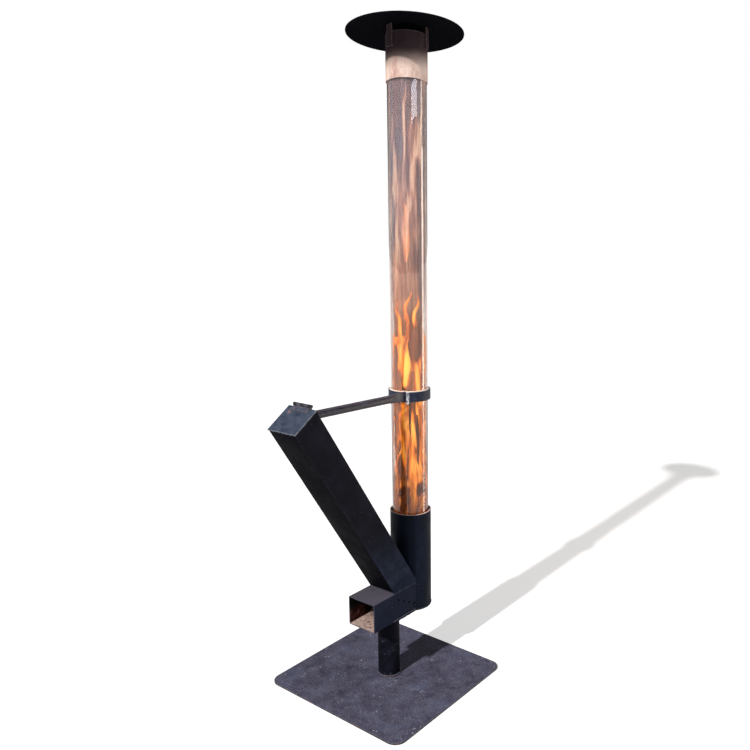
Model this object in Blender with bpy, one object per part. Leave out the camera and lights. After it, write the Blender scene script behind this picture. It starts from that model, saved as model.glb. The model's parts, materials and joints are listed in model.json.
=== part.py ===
"""Gravity-fed wood pellet patio heater with a glass flame tube.

A square burn box stands on a post over a steel base plate. Its front is the open mouth. A leaning hopper
drops pellets through the box's top on to a slotted grate, and a round combustion chamber at the box's rear
carries the glass flame tube, which a tilted cap covers. An arm from the hopper steadies the glass.

Metres, +Z up. The origin is at the centre of the base plate's underside. The mouth faces -Y.
"""

from math import atan2, cos, hypot, pi, radians, sin, sqrt, tan

import bmesh
import bpy
from mathutils import Matrix, Vector

# ---- Fits ----
TOUCH_GAP = 0.0003        # between two fixed pieces that touch
RUNNING_GAP = 0.00008     # radial, between the lid's hinge pin and its knuckles
SLIDE_GAP = 0.0020        # between the sliding basket and the burn box, each side
CUT_OVERRUN = 0.0100      # how far a cutter runs past what it cuts

# ---- Base ----
BASE_SIDE = 0.582
BASE_THICKNESS = 0.00635
BASE_CORNER_RADIUS = 0.040
POST_RADIUS = 0.0381
POST_WALL = 0.0050
POST_Y = 0.010            # the post stands a little behind the plate's centre

# ---- Burn box ----
BOX_WIDTH = 0.1145
BOX_HEIGHT = 0.1010
BOX_WALL = 0.0032
BOX_BOTTOM_Z = 0.2268
BOX_MOUTH_Y = -0.1262
AIR_HOLE_RADIUS = 0.0040
AIR_HOLE_COUNT = 4
AIR_HOLE_PITCH = 0.0322   # along the row, which falls towards the chamber
AIR_HOLE_FIRST_Y = -0.0017
AIR_HOLE_FIRST_DROP = 0.0290  # below the box's top face

# ---- Combustion chamber ----
TUBE_Y = 0.1365           # the axis of the chamber, the glass and the cap
CHAMBER_SEAL_SPACE = 0.0043   # between the glass and the chamber's inner wall
CHAMBER_WALL = 0.0040
CHAMBER_TOP_Z = 0.5775
CHAMBER_FLOOR_THICKNESS = 0.0050

# ---- Glass flame tube ----
GLASS_RADIUS = 0.0635
GLASS_WALL = 0.0035
GLASS_LENGTH = 1.524
GLASS_SEAT_DEPTH = 0.050  # from the chamber's rim down to the glass's lower edge
SEAT_RING_THICKNESS = 0.0060
SEAT_RING_LIP = 0.0020    # how far the seat ring stands inside the glass's bore
SEAT_GASKET_THICKNESS = 0.0030
ROPE_SEAL_HEIGHT = 0.0080
ROPE_SEAL_RECESS = 0.0060

# ---- Hopper ----
HOPPER_LEAN = radians(33.2)   # from the vertical, towards the mouth
HOPPER_FRONT_Y = -0.0196      # where its lower face meets the burn box's top
HOPPER_DEPTH = 0.1030
HOPPER_LENGTH = 0.7715        # along its lower face
HOPPER_WALL = 0.0032
LID_THICKNESS = 0.0032
LID_OVERHANG = 0.0015

# ---- Lid hinge ----
HINGE_WIDTH = 0.0760
HINGE_KNUCKLES = 5
HINGE_KNUCKLE_RADIUS = 0.0050
HINGE_PIN_RADIUS = 0.0025
HINGE_PIN_STAND_OUT = 0.0008
HINGE_LEAF_WIDTH = 0.0240     # from the pin's axis
HINGE_LEAF_THICKNESS = 0.0020
RIVET_INSET = 0.0150          # from the pin's axis
RIVET_SPREAD = 0.0260         # each side of the hinge's middle
RIVET_SHANK_RADIUS = 0.0020
RIVET_HEAD_RADIUS = 0.0038
RIVET_HEAD_HEIGHT = 0.0014
RIVET_TAIL_HEIGHT = 0.0010
RIVET_TAIL_TAPER = 0.0004     # how much narrower the flat head's end is

# ---- Slotted burn basket ----
GRATE_THICKNESS = 0.0030
GRATE_SLOPE = radians(27.9)
GRATE_BELOW_HOLES = 0.0100    # from the air holes' line down to the grate's face
GRATE_BED_HEIGHT = 0.0150     # the level bed's face over the burn box's floor
GRATE_REAR_GAP = 0.0060       # from its rear corners to the chamber's inner wall
GRATE_SLOT_WIDTH = 0.0042
GRATE_SLOT_LENGTH = 0.0760
GRATE_SLOT_PITCH = 0.0125
GRATE_SLOT_CUT = 0.0090       # how far a slot's cutter reaches each side of the grate's face
GRATE_SIDE_THICKNESS = 0.0025
PULL_LOOP_ROD_RADIUS = 0.0030
PULL_LOOP_WIDTH = 0.0420      # between the loop's rod centres
PULL_LOOP_REACH = 0.0380
PULL_LOOP_BEND_RADIUS = 0.0110

# ---- Clamp ring round the glass ----
RING_HEIGHT = 0.0340
RING_KNUCKLES = 3
RING_PACKING_SPACE = 0.0057       # between the glass and the band
RING_THICKNESS = 0.0030
RING_SPLIT = 0.0070
RING_PIN_ANGLE = radians(35.0)    # from the front towards +X
RING_KNUCKLE_RADIUS = 0.0045
RING_KNUCKLE_OFFSET = 0.0035      # from the band's outer face to the pin's axis
RING_KNUCKLE_GAP = 0.0006
RING_TAB_LENGTH = 0.0065
RING_TAB_SINK = 0.0012            # how far the tab's outer face lies inside the pin's axis
RING_TAB_ROOT = 0.0018            # how deep the tab is sunk in the band
RING_PIN_RADIUS = 0.0025
RING_PIN_HEAD_RADIUS = 0.0050
RING_PIN_HEAD_HEIGHT = 0.0030
RING_PIN_TAIL = 0.0060
RING_CLIP_HEIGHT = 0.0022
PACKING_STAND_UP = 0.0035
PACKING_RECESS = 0.0010

# ---- Support arm ----
ARM_RADIUS = 0.01335
ARM_WALL = 0.0028
ARM_TOP_DISTANCE = 0.0340         # from the hopper's top rim to the arm's axis, along the hopper
ARM_TIP_TO_PIN = 0.0101           # round the ring, from the flattened tip to the pin
ARM_FALL = 0.00948                # from the foot's middle down to the ring's middle
ARM_TIP_RISE = 0.0040             # the tip's middle over the ring's middle
ARM_TIP_HALF_THICKNESS = 0.0025
ARM_TIP_HALF_HEIGHT = 0.0165
ARM_FLAT_LENGTH = 0.0300
ARM_TAPER_LENGTH = 0.0550
ARM_TAPER_STEPS = 8
ARM_TIP_SQUARENESS = 2.5          # added to an ellipse's power of 2

# ---- Cap ----
CAP_LEAN = radians(6.4)           # the disc and the collar's ends lean out of level
CAP_LEAN_TOWARDS = radians(108.0)
COLLAR_CLEARANCE = 0.00125        # radial, over the glass
COLLAR_WALL = 0.0020
COLLAR_OVERLAP = 0.0545           # over the glass's upper end, on the tube's axis
COLLAR_LENGTH = 0.1380
STOP_RING_THICKNESS = 0.0030
STRUT_COUNT = 3
STRUT_FIRST_ANGLE = radians(20.0)
STRUT_WIDTH = 0.0250
STRUT_THICKNESS = 0.0030
STRUT_LAP = 0.0430                # the length welded to the collar
DISC_RADIUS = 0.1865
DISC_DEPTH = 0.0180
DISC_THICKNESS = 0.0030
DISC_OFFSET_Y = -0.0080
DISC_RISE = 0.0060                # from the collar's upper end to the disc's rim plane
DISC_STEPS = 9                    # rings of faces from the disc's middle to its rim

# ---- Worked out from the driving sizes ----
BASE_TOP_Z = BASE_THICKNESS
BOX_TOP_Z = BOX_BOTTOM_Z + BOX_HEIGHT
BOX_HALF_WIDTH = BOX_WIDTH / 2
BOX_INNER_HALF_WIDTH = BOX_HALF_WIDTH - BOX_WALL
BOX_FLOOR_Z = BOX_BOTTOM_Z + BOX_WALL
CHAMBER_INNER_RADIUS = GLASS_RADIUS + CHAMBER_SEAL_SPACE
CHAMBER_RADIUS = CHAMBER_INNER_RADIUS + CHAMBER_WALL
GLASS_INNER_RADIUS = GLASS_RADIUS - GLASS_WALL
SEAT_RING_BORE_RADIUS = GLASS_INNER_RADIUS - SEAT_RING_LIP
GLASS_BOTTOM_Z = CHAMBER_TOP_Z - GLASS_SEAT_DEPTH
GLASS_TOP_Z = GLASS_BOTTOM_Z + GLASS_LENGTH
AIR_HOLE_FIRST_Z = BOX_TOP_Z - AIR_HOLE_FIRST_DROP
LID_BOTTOM = HOPPER_LENGTH + TOUCH_GAP
LID_TOP = LID_BOTTOM + LID_THICKNESS
HINGE_AXIS_DEPTH = HOPPER_DEPTH + TOUCH_GAP + HINGE_KNUCKLE_RADIUS
HINGE_AXIS_HEIGHT = LID_TOP + TOUCH_GAP + HINGE_KNUCKLE_RADIUS
GRATE_BED_Z = BOX_FLOOR_Z + GRATE_BED_HEIGHT
GRATE_FACE_Z = AIR_HOLE_FIRST_Z - GRATE_BELOW_HOLES / cos(GRATE_SLOPE)    # under the first air hole
GRATE_KNEE_Y = AIR_HOLE_FIRST_Y + (GRATE_FACE_Z - GRATE_BED_Z) / tan(GRATE_SLOPE)
GRATE_FRONT_Y = HOPPER_FRONT_Y
GRATE_HALF_WIDTH = BOX_INNER_HALF_WIDTH - SLIDE_GAP
GRATE_REAR_Y = TUBE_Y + sqrt(CHAMBER_INNER_RADIUS ** 2 - GRATE_HALF_WIDTH ** 2) - GRATE_REAR_GAP
UPSTAND_TOP_Z = BOX_TOP_Z - BOX_WALL - SLIDE_GAP
ARM_SEAT = HOPPER_LENGTH - ARM_TOP_DISTANCE       # along the hopper, from its foot
ARM_BACK = HOPPER_DEPTH + TOUCH_GAP
ARM_FOOT_Y = HOPPER_FRONT_Y + ARM_BACK * cos(HOPPER_LEAN) - ARM_SEAT * sin(HOPPER_LEAN)
ARM_FOOT_Z = BOX_TOP_Z + ARM_BACK * sin(HOPPER_LEAN) + ARM_SEAT * cos(HOPPER_LEAN)
RING_Z = ARM_FOOT_Z - ARM_FALL
RING_BOTTOM_Z = RING_Z - RING_HEIGHT / 2
RING_TOP_Z = RING_Z + RING_HEIGHT / 2
RING_RADIUS = GLASS_RADIUS + RING_PACKING_SPACE + RING_THICKNESS
RING_PIN_DISTANCE = RING_RADIUS + RING_KNUCKLE_OFFSET
ARM_TIP_ANGLE = RING_PIN_ANGLE - ARM_TIP_TO_PIN / RING_RADIUS
COLLAR_RADIUS = GLASS_RADIUS + COLLAR_CLEARANCE + COLLAR_WALL
COLLAR_BOTTOM_Z = GLASS_TOP_Z - COLLAR_OVERLAP
COLLAR_TOP_Z = COLLAR_BOTTOM_Z + COLLAR_LENGTH
DISC_RIM_Z = COLLAR_TOP_Z + DISC_RISE

FINE = 64                     # sides of a large round piece
MEDIUM = 40
SMALL = 24
TINY = 16
ROD_SIDES = 12
CORNER_STEPS = 8              # of the base plate's corners
BEND_STEPS = 6                # of the pull loop's bends
DOME_STEPS = 3                # of a rivet's domed head
SETTLING_ROUNDS = 12          # for a height that is found step by step
SMOOTH_ANGLE = radians(35)    # edges sharper than this stay sharp
MERGE_DISTANCE = 1e-6
AT_FRAME = (0.0, 0.0, 0.0)    # on the parent frame's origin


# ---- Materials ----

def material(name, colour, roughness, metallic):
    """A Principled material with one colour, roughness and metallic value."""
    made = bpy.data.materials.new(name)
    made.use_nodes = True
    shader = made.node_tree.nodes["Principled BSDF"]
    shader.inputs["Base Color"].default_value = (*colour, 1.0)
    shader.inputs["Roughness"].default_value = roughness
    shader.inputs["Metallic"].default_value = metallic
    return made


def make_materials():
    """Every finish of the heater, by slot name."""
    return {
        "base_paint": material("base_paint", (0.105, 0.110, 0.165), 0.55, 0.3),
        "black_paint": material("black_paint", (0.012, 0.016, 0.028), 0.50, 0.3),
        "lid_paint": material("lid_paint", (0.060, 0.085, 0.130), 0.45, 0.4),
        "cap_paint": material("cap_paint", (0.008, 0.008, 0.010), 0.60, 0.2),
        "heat_rusted_steel": material("heat_rusted_steel", (0.430, 0.270, 0.215), 0.65, 0.4),
        "burnt_steel": material("burnt_steel", (0.190, 0.105, 0.080), 0.80, 0.4),
        "bright_zinc": material("bright_zinc", (0.720, 0.740, 0.760), 0.30, 1.0),
        "dark_steel": material("dark_steel", (0.050, 0.050, 0.060), 0.45, 0.8),
        "ceramic_fibre": material("ceramic_fibre", (0.780, 0.700, 0.620), 0.95, 0.0),
        "flame_glass": material("flame_glass", (0.820, 0.560, 0.420), 0.06, 0.0),
    }


# ---- Making solids ----

def to_object(name, mesh_builder, finish):
    """Turn a bmesh into a named object with its finish; round faces are shaded smooth."""
    bmesh.ops.recalc_face_normals(mesh_builder, faces=mesh_builder.faces)
    mesh = bpy.data.meshes.new(name)
    mesh_builder.to_mesh(mesh)
    mesh_builder.free()
    mesh.materials.append(finish)
    made = bpy.data.objects.new(name, mesh)
    bpy.context.scene.collection.objects.link(made)
    shade(made)
    return made


def shade(made):
    """Smooth shading with sharp edges kept."""
    made.data.shade_smooth()
    made.data.set_sharp_from_angle(angle=SMOOTH_ANGLE)


def place(made, location, rotation=(0.0, 0.0, 0.0), parent=None):
    """Put an object at its place under its parent."""
    made.parent = parent
    made.location = location
    made.rotation_euler = rotation
    return made


def empty(name, location, rotation=(0.0, 0.0, 0.0), parent=None):
    """A frame that pieces are placed in."""
    made = bpy.data.objects.new(name, None)
    bpy.context.scene.collection.objects.link(made)
    return place(made, location, rotation, parent)


def add_box(builder, low, high):
    """Add an axis-aligned box to a bmesh."""
    size = [high[axis] - low[axis] for axis in range(3)]
    middle = [(high[axis] + low[axis]) / 2 for axis in range(3)]
    matrix = Matrix.Translation(middle) @ Matrix.Diagonal((*size, 1.0))
    bmesh.ops.create_cube(builder, size=1.0, matrix=matrix)


def box(name, low, high, finish):
    """A plain rectangular solid."""
    builder = bmesh.new()
    add_box(builder, low, high)
    return to_object(name, builder, finish)


def lathe(name, profile, finish, sides=MEDIUM):
    """Turn a closed outline of (radius, height) points round Z."""
    builder = bmesh.new()
    points = [builder.verts.new((radius, 0.0, height)) for radius, height in profile]
    edges = [builder.edges.new((a, b)) for a, b in zip(points, points[1:] + points[:1])]
    bmesh.ops.spin(builder, geom=points + edges, cent=(0, 0, 0), axis=(0, 0, 1),
                   angle=2 * pi, steps=sides, use_merge=True)
    bmesh.ops.remove_doubles(builder, verts=builder.verts, dist=MERGE_DISTANCE)
    bmesh.ops.dissolve_degenerate(builder, dist=MERGE_DISTANCE, edges=builder.edges)
    loose = [edge for edge in builder.edges if not edge.link_faces]
    bmesh.ops.delete(builder, geom=loose, context="EDGES")
    return to_object(name, builder, finish)


def ring(name, inner, outer, low, high, finish, sides=MEDIUM):
    """A plain round sleeve or washer round Z."""
    return lathe(name, [(inner, low), (outer, low), (outer, high), (inner, high)], finish, sides)


def cylinder(name, radius, low, high, finish, sides=MEDIUM):
    """A solid round bar along Z, with a flat and not a corner towards +X."""
    builder = bmesh.new()
    middle = Matrix.Translation((0, 0, (low + high) / 2)) @ Matrix.Rotation(pi / sides, 4, "Z")
    bmesh.ops.create_cone(builder, cap_ends=True, segments=sides, radius1=radius, radius2=radius,
                          depth=high - low, matrix=middle)
    return to_object(name, builder, finish)


def prism(name, outline, low, high, finish):
    """Extrude a closed XY outline along Z."""
    builder = bmesh.new()
    face = builder.faces.new([builder.verts.new((x, y, low)) for x, y in outline])
    raised = bmesh.ops.extrude_face_region(builder, geom=[face])
    moved = [part for part in raised["geom"] if isinstance(part, bmesh.types.BMVert)]
    bmesh.ops.translate(builder, verts=moved, vec=(0, 0, high - low))
    return to_object(name, builder, finish)


def bridge(builder, low, high):
    """Join two loops of the same count with quads."""
    count = len(low)
    for index in range(count):
        after = (index + 1) % count
        builder.faces.new((low[index], low[after], high[after], high[index]))


def combine(target, tool, operation):
    """Apply an exact Boolean to the target and remove the tool."""
    modifier = target.modifiers.new(operation.title(), "BOOLEAN")
    modifier.operation = operation
    modifier.solver = "EXACT"
    modifier.object = tool
    bpy.context.view_layer.update()
    evaluated = target.evaluated_get(bpy.context.evaluated_depsgraph_get())
    result = bpy.data.meshes.new_from_object(evaluated)
    finish = target.data.materials[0]
    target.modifiers.clear()
    target.data = result
    result.materials.clear()
    result.materials.append(finish)
    bpy.data.objects.remove(tool)
    shade(target)
    return target


def cut(target, tool):
    return combine(target, tool, "DIFFERENCE")


def join(target, tool):
    return combine(target, tool, "UNION")


def arc(centre, radius, start, end, steps):
    """Points of an arc in a plane, from one angle to another."""
    angles = [start + (end - start) * step / steps for step in range(steps + 1)]
    return [(centre[0] + radius * cos(angle), centre[1] + radius * sin(angle)) for angle in angles]


def rounded_rectangle(half_x, half_y, radius, steps):
    """Outline of a rectangle with round corners, centred on the origin."""
    corners = [(1, 1, 0.0), (-1, 1, pi / 2), (-1, -1, pi), (1, -1, 3 * pi / 2)]
    outline = []
    for side_x, side_y, start in corners:
        centre = (side_x * (half_x - radius), side_y * (half_y - radius))
        outline += arc(centre, radius, start, start + pi / 2, steps)
    return outline


# ---- Base ----

def make_base(finishes):
    """The floor plate and the post that carries the burn box."""
    half = BASE_SIDE / 2
    outline = rounded_rectangle(half, half, BASE_CORNER_RADIUS, CORNER_STEPS)
    prism("base_plate", outline, 0.0, BASE_THICKNESS, finishes["base_paint"])
    post = ring("base_post", POST_RADIUS - POST_WALL, POST_RADIUS, BASE_TOP_Z + TOUCH_GAP,
                BOX_BOTTOM_Z - TOUCH_GAP, finishes["black_paint"])
    place(post, (0, POST_Y, 0))


# ---- Burn box and chamber ----

def chamber_clearance():
    """A round cutter that leaves a touching gap to the chamber's outer wall."""
    tool = cylinder("chamber_clearance", CHAMBER_RADIUS + TOUCH_GAP, BOX_BOTTOM_Z - CUT_OVERRUN,
                    CHAMBER_TOP_Z + CUT_OVERRUN, cutter_finish(), FINE)
    return place(tool, (0, TUBE_Y, 0))


def cutter_finish():
    """The finish of a cutter, which never shows."""
    return bpy.data.materials.get("cutter") or bpy.data.materials.new("cutter")


def air_hole_places():
    """The (y, z) of each air hole in the falling row."""
    distances = [AIR_HOLE_PITCH * step for step in range(AIR_HOLE_COUNT)]
    return [(AIR_HOLE_FIRST_Y + distance * cos(GRATE_SLOPE), AIR_HOLE_FIRST_Z - distance * sin(GRATE_SLOPE))
            for distance in distances]


def make_burn_box(finishes):
    """A square tube, open at the mouth, coped to the chamber and open upwards into the hopper."""
    made = box("burn_box", (-BOX_HALF_WIDTH, BOX_MOUTH_Y, BOX_BOTTOM_Z),
               (BOX_HALF_WIDTH, TUBE_Y, BOX_TOP_Z), finishes["black_paint"])
    inside = box("inside", (-BOX_INNER_HALF_WIDTH, BOX_MOUTH_Y - CUT_OVERRUN, BOX_FLOOR_Z),
                 (BOX_INNER_HALF_WIDTH, TUBE_Y + CUT_OVERRUN, BOX_TOP_Z - BOX_WALL), cutter_finish())
    cut(made, inside)
    cut(made, chamber_clearance())
    feed_front = HOPPER_FRONT_Y + HOPPER_WALL / cos(HOPPER_LEAN)
    feed = box("feed", (-BOX_INNER_HALF_WIDTH, feed_front, BOX_TOP_Z - BOX_WALL - CUT_OVERRUN),
               (BOX_INNER_HALF_WIDTH, TUBE_Y, BOX_TOP_Z + CUT_OVERRUN), cutter_finish())
    cut(made, feed)
    for y, z in air_hole_places():
        hole = cylinder("hole", AIR_HOLE_RADIUS, -BOX_WIDTH, BOX_WIDTH, cutter_finish(), TINY)
        cut(made, place(hole, (0, y, z), (0, pi / 2, 0)))
    return made


def make_chamber(finishes):
    """The round chamber with its window to the burn box, and the plate that closes it below."""
    chamber = ring("combustion_chamber", CHAMBER_INNER_RADIUS, CHAMBER_RADIUS, BOX_BOTTOM_Z, CHAMBER_TOP_Z,
                   finishes["black_paint"], FINE)
    place(chamber, (0, TUBE_Y, 0))
    window = box("window", (-BOX_INNER_HALF_WIDTH, TUBE_Y - CHAMBER_RADIUS - CUT_OVERRUN, BOX_FLOOR_Z),
                 (BOX_INNER_HALF_WIDTH, TUBE_Y, BOX_TOP_Z - BOX_WALL), cutter_finish())
    cut(chamber, window)
    floor_top = BOX_BOTTOM_Z - TOUCH_GAP
    floor = cylinder("chamber_floor", CHAMBER_RADIUS, floor_top - CHAMBER_FLOOR_THICKNESS, floor_top,
                     finishes["black_paint"], FINE)
    place(floor, (0, TUBE_Y, 0))


# ---- Glass and its seals ----

def make_glass(finishes):
    """The flame tube, the ring that it stands on and its two ceramic seals."""
    glass = ring("glass_tube", GLASS_INNER_RADIUS, GLASS_RADIUS, GLASS_BOTTOM_Z, GLASS_TOP_Z,
                 finishes["flame_glass"], FINE)
    gasket_top = GLASS_BOTTOM_Z - TOUCH_GAP
    gasket_bottom = gasket_top - SEAT_GASKET_THICKNESS
    seat_outer = CHAMBER_INNER_RADIUS - TOUCH_GAP
    gasket = ring("glass_seat_gasket", SEAT_RING_BORE_RADIUS, seat_outer, gasket_bottom, gasket_top,
                  finishes["ceramic_fibre"])
    seat = ring("glass_seat_ring", SEAT_RING_BORE_RADIUS, seat_outer,
                gasket_bottom - TOUCH_GAP - SEAT_RING_THICKNESS, gasket_bottom - TOUCH_GAP,
                finishes["burnt_steel"])
    seal_top = CHAMBER_TOP_Z - ROPE_SEAL_RECESS
    seal = ring("glass_rope_seal", GLASS_RADIUS + TOUCH_GAP, seat_outer, seal_top - ROPE_SEAL_HEIGHT,
                seal_top, finishes["ceramic_fibre"], FINE)
    for piece in (glass, gasket, seat, seal):
        place(piece, (0, TUBE_Y, 0))


# ---- Hopper ----

def hopper_section(half_width, low_depth, high_depth):
    """The four corners of a section of the hopper, in its leaning frame."""
    return [(-half_width, low_depth), (half_width, low_depth),
            (half_width, high_depth), (-half_width, high_depth)]


def make_hopper(finishes, frame):
    """A leaning square tube: mitred to the burn box, coped to the chamber, square at its upper end."""
    builder = bmesh.new()
    sections = [hopper_section(BOX_HALF_WIDTH, 0.0, HOPPER_DEPTH),
                hopper_section(BOX_HALF_WIDTH - HOPPER_WALL, HOPPER_WALL, HOPPER_DEPTH - HOPPER_WALL)]
    loops = []
    for section in sections:
        foot, head = [], []
        for x, depth in section:
            start = (TOUCH_GAP - depth * sin(HOPPER_LEAN)) / cos(HOPPER_LEAN)
            foot.append(builder.verts.new((x, depth, start)))
            head.append(builder.verts.new((x, depth, HOPPER_LENGTH)))
        loops.append((foot, head))
    outer, inner = loops
    for a, b in zip(range(4), (1, 2, 3, 0)):
        builder.faces.new((outer[0][a], outer[0][b], outer[1][b], outer[1][a]))
        builder.faces.new((inner[0][b], inner[0][a], inner[1][a], inner[1][b]))
        builder.faces.new((outer[1][a], outer[1][b], inner[1][b], inner[1][a]))
        builder.faces.new((outer[0][b], outer[0][a], inner[0][a], inner[0][b]))
    made = place(to_object("hopper_tube", builder, finishes["black_paint"]), AT_FRAME, parent=frame)
    cut(made, chamber_clearance())
    for side in (-1, 1):
        spot = (side * RIVET_SPREAD, HOPPER_DEPTH, HINGE_AXIS_HEIGHT - RIVET_INSET)
        drill(made, frame, spot, (pi / 2, 0, 0))


def drill(target, frame, location, rotation):
    """A rivet hole through the target, along the tool's own axis."""
    reach = HOPPER_WALL + CUT_OVERRUN
    tool = cylinder("drill", RIVET_SHANK_RADIUS + TOUCH_GAP, -reach, reach, cutter_finish(), TINY)
    return cut(target, place(tool, location, rotation, frame))


def make_lid(finishes, hopper_frame, hinge_frame):
    """A flat plate over the hopper's open end. Its frame is on the hinge's axis."""
    low = (-BOX_HALF_WIDTH - LID_OVERHANG, -LID_OVERHANG - HINGE_AXIS_DEPTH, LID_BOTTOM - HINGE_AXIS_HEIGHT)
    high = (BOX_HALF_WIDTH + LID_OVERHANG, HOPPER_DEPTH - HINGE_AXIS_DEPTH, LID_TOP - HINGE_AXIS_HEIGHT)
    made = place(box("hopper_lid", low, high, finishes["lid_paint"]), AT_FRAME, parent=hinge_frame)
    for side in (-1, 1):
        spot = (side * RIVET_SPREAD, HINGE_AXIS_DEPTH - RIVET_INSET, LID_BOTTOM)
        drill(made, hopper_frame, spot, (0, 0, 0))


def knuckle_span(index):
    """The X range of one hinge knuckle."""
    pitch = HINGE_WIDTH / HINGE_KNUCKLES
    start = -HINGE_WIDTH / 2 + index * pitch
    return start + TOUCH_GAP / 2, start + pitch - TOUCH_GAP / 2


def make_leaf(name, own_knuckles, finish, hinge_frame, standing):
    """One hinge leaf with its knuckles, flat along -Y from the axis, or standing down the hopper's back.

    The leaf is made lying: its face on the lid is one knuckle radius below the axis.
    """
    face = -HINGE_KNUCKLE_RADIUS
    near = -HINGE_KNUCKLE_RADIUS - TOUCH_GAP
    left, right = knuckle_span(0)[0], knuckle_span(HINGE_KNUCKLES - 1)[1]
    outline = [(left, -HINGE_LEAF_WIDTH), (right, -HINGE_LEAF_WIDTH)]
    for index in reversed(range(HINGE_KNUCKLES)):
        start, end = knuckle_span(index)
        tab = [(end, 0.0), (start, 0.0)] if index in own_knuckles else []
        outline += [(end, near)] + tab + [(start, near)]
    made = prism(name, outline, face, face + HINGE_LEAF_THICKNESS, finish)
    for index in own_knuckles:
        start, end = knuckle_span(index)
        barrel = cylinder("barrel", HINGE_KNUCKLE_RADIUS, start, end, finish, SMALL)
        join(made, place(barrel, AT_FRAME, (0, pi / 2, 0)))
    reach = HINGE_WIDTH / 2 + CUT_OVERRUN
    bore = cylinder("bore", HINGE_PIN_RADIUS + RUNNING_GAP, -reach, reach, cutter_finish(), SMALL)
    cut(made, place(bore, AT_FRAME, (0, pi / 2, 0)))
    for side in (-1, 1):
        drill(made, None, (side * RIVET_SPREAD, -RIVET_INSET, face), (0, 0, 0))
    # A standing leaf is the mirror image of a lying one about the corner's diagonal.
    if standing:
        made.data.transform(Matrix(((1, 0, 0, 0), (0, 0, 1, 0), (0, 1, 0, 0), (0, 0, 0, 1))))
        made.data.flip_normals()
    return place(made, AT_FRAME, parent=hinge_frame)


def rivet(name, grip, finish):
    """A round rivet along Z: a domed head at the top and a flat one below the grip.

    Both heads are clear of the plates by the touching gap.
    """
    top = grip / 2 + TOUCH_GAP
    tail_end = -top - RIVET_TAIL_HEIGHT
    tail = [(0.0, tail_end), (RIVET_HEAD_RADIUS - RIVET_TAIL_TAPER, tail_end), (RIVET_HEAD_RADIUS, -top)]
    shank = [(RIVET_SHANK_RADIUS, -top), (RIVET_SHANK_RADIUS, top)]
    quarter = arc((0.0, 0.0), 1.0, 0.0, pi / 2, DOME_STEPS)
    dome = [(RIVET_HEAD_RADIUS * across, top + RIVET_HEAD_HEIGHT * up) for across, up in quarter[:-1]]
    return lathe(name, tail + shank + dome + [(0.0, top + RIVET_HEAD_HEIGHT)], finish, TINY)


def make_hinge(finishes, hinge_frame):
    """The lid's butt hinge: two leaves, the pin and four rivets. The lid's own leaf is painted with it."""
    steel, paint = finishes["dark_steel"], finishes["lid_paint"]
    make_leaf("hinge_fixed_leaf", range(0, HINGE_KNUCKLES, 2), steel, hinge_frame, True)
    make_leaf("hinge_moving_leaf", range(1, HINGE_KNUCKLES, 2), paint, hinge_frame, False)
    half = HINGE_WIDTH / 2 + HINGE_PIN_STAND_OUT
    pin = cylinder("hinge_pin", HINGE_PIN_RADIUS, -half, half, steel, SMALL)
    place(pin, AT_FRAME, (0, pi / 2, 0), hinge_frame)
    lid_grip = LID_THICKNESS + TOUCH_GAP + HINGE_LEAF_THICKNESS
    wall_grip = HOPPER_WALL + TOUCH_GAP + HINGE_LEAF_THICKNESS
    for number, side in ((1, -1), (2, 1)):
        flat = rivet(f"lid_rivet_{number}", lid_grip, paint)
        middle = -HINGE_KNUCKLE_RADIUS + HINGE_LEAF_THICKNESS - lid_grip / 2
        place(flat, (side * RIVET_SPREAD, -RIVET_INSET, middle), parent=hinge_frame)
        upright = rivet(f"hopper_rivet_{number}", wall_grip, steel)
        middle = -HINGE_KNUCKLE_RADIUS + HINGE_LEAF_THICKNESS - wall_grip / 2
        place(upright, (side * RIVET_SPREAD, middle, -RIVET_INSET), (-pi / 2, 0, 0), hinge_frame)


# ---- Burn basket ----

def grate_face_z(y):
    """Height of the sloping part's upper face."""
    return GRATE_FACE_Z - (y - AIR_HOLE_FIRST_Y) * tan(GRATE_SLOPE)


def plate_along(points, thickness):
    """Outline of a bent plate with one face along the (y, z) points.

    The plate lies to the left of the way that the points run.
    """
    lower = []
    for index, (y, z) in enumerate(points):
        before = points[max(index - 1, 0)]
        after = points[min(index + 1, len(points) - 1)]
        into = Vector((y - before[0], z - before[1])).normalized() if index else None
        out = Vector((after[0] - y, after[1] - z)).normalized() if index < len(points) - 1 else None
        ways = [way for way in (into, out) if way is not None]
        normals = [Vector((-way.y, way.x)) for way in ways]
        bisector = sum(normals, Vector((0, 0))).normalized()
        lower.append((y + bisector.x * thickness / bisector.dot(normals[0]),
                      z + bisector.y * thickness / bisector.dot(normals[0])))
    return list(points) + lower[::-1]


def profile_across(name, outline, half_width, finish):
    """Extrude a (y, z) outline across X, centred."""
    made = prism(name, [(y, z) for y, z in outline], -half_width, half_width, finish)
    made.data.transform(Matrix(((0, 0, 1, 0), (1, 0, 0, 0), (0, 1, 0, 0), (0, 0, 0, 1))))
    return made


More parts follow.
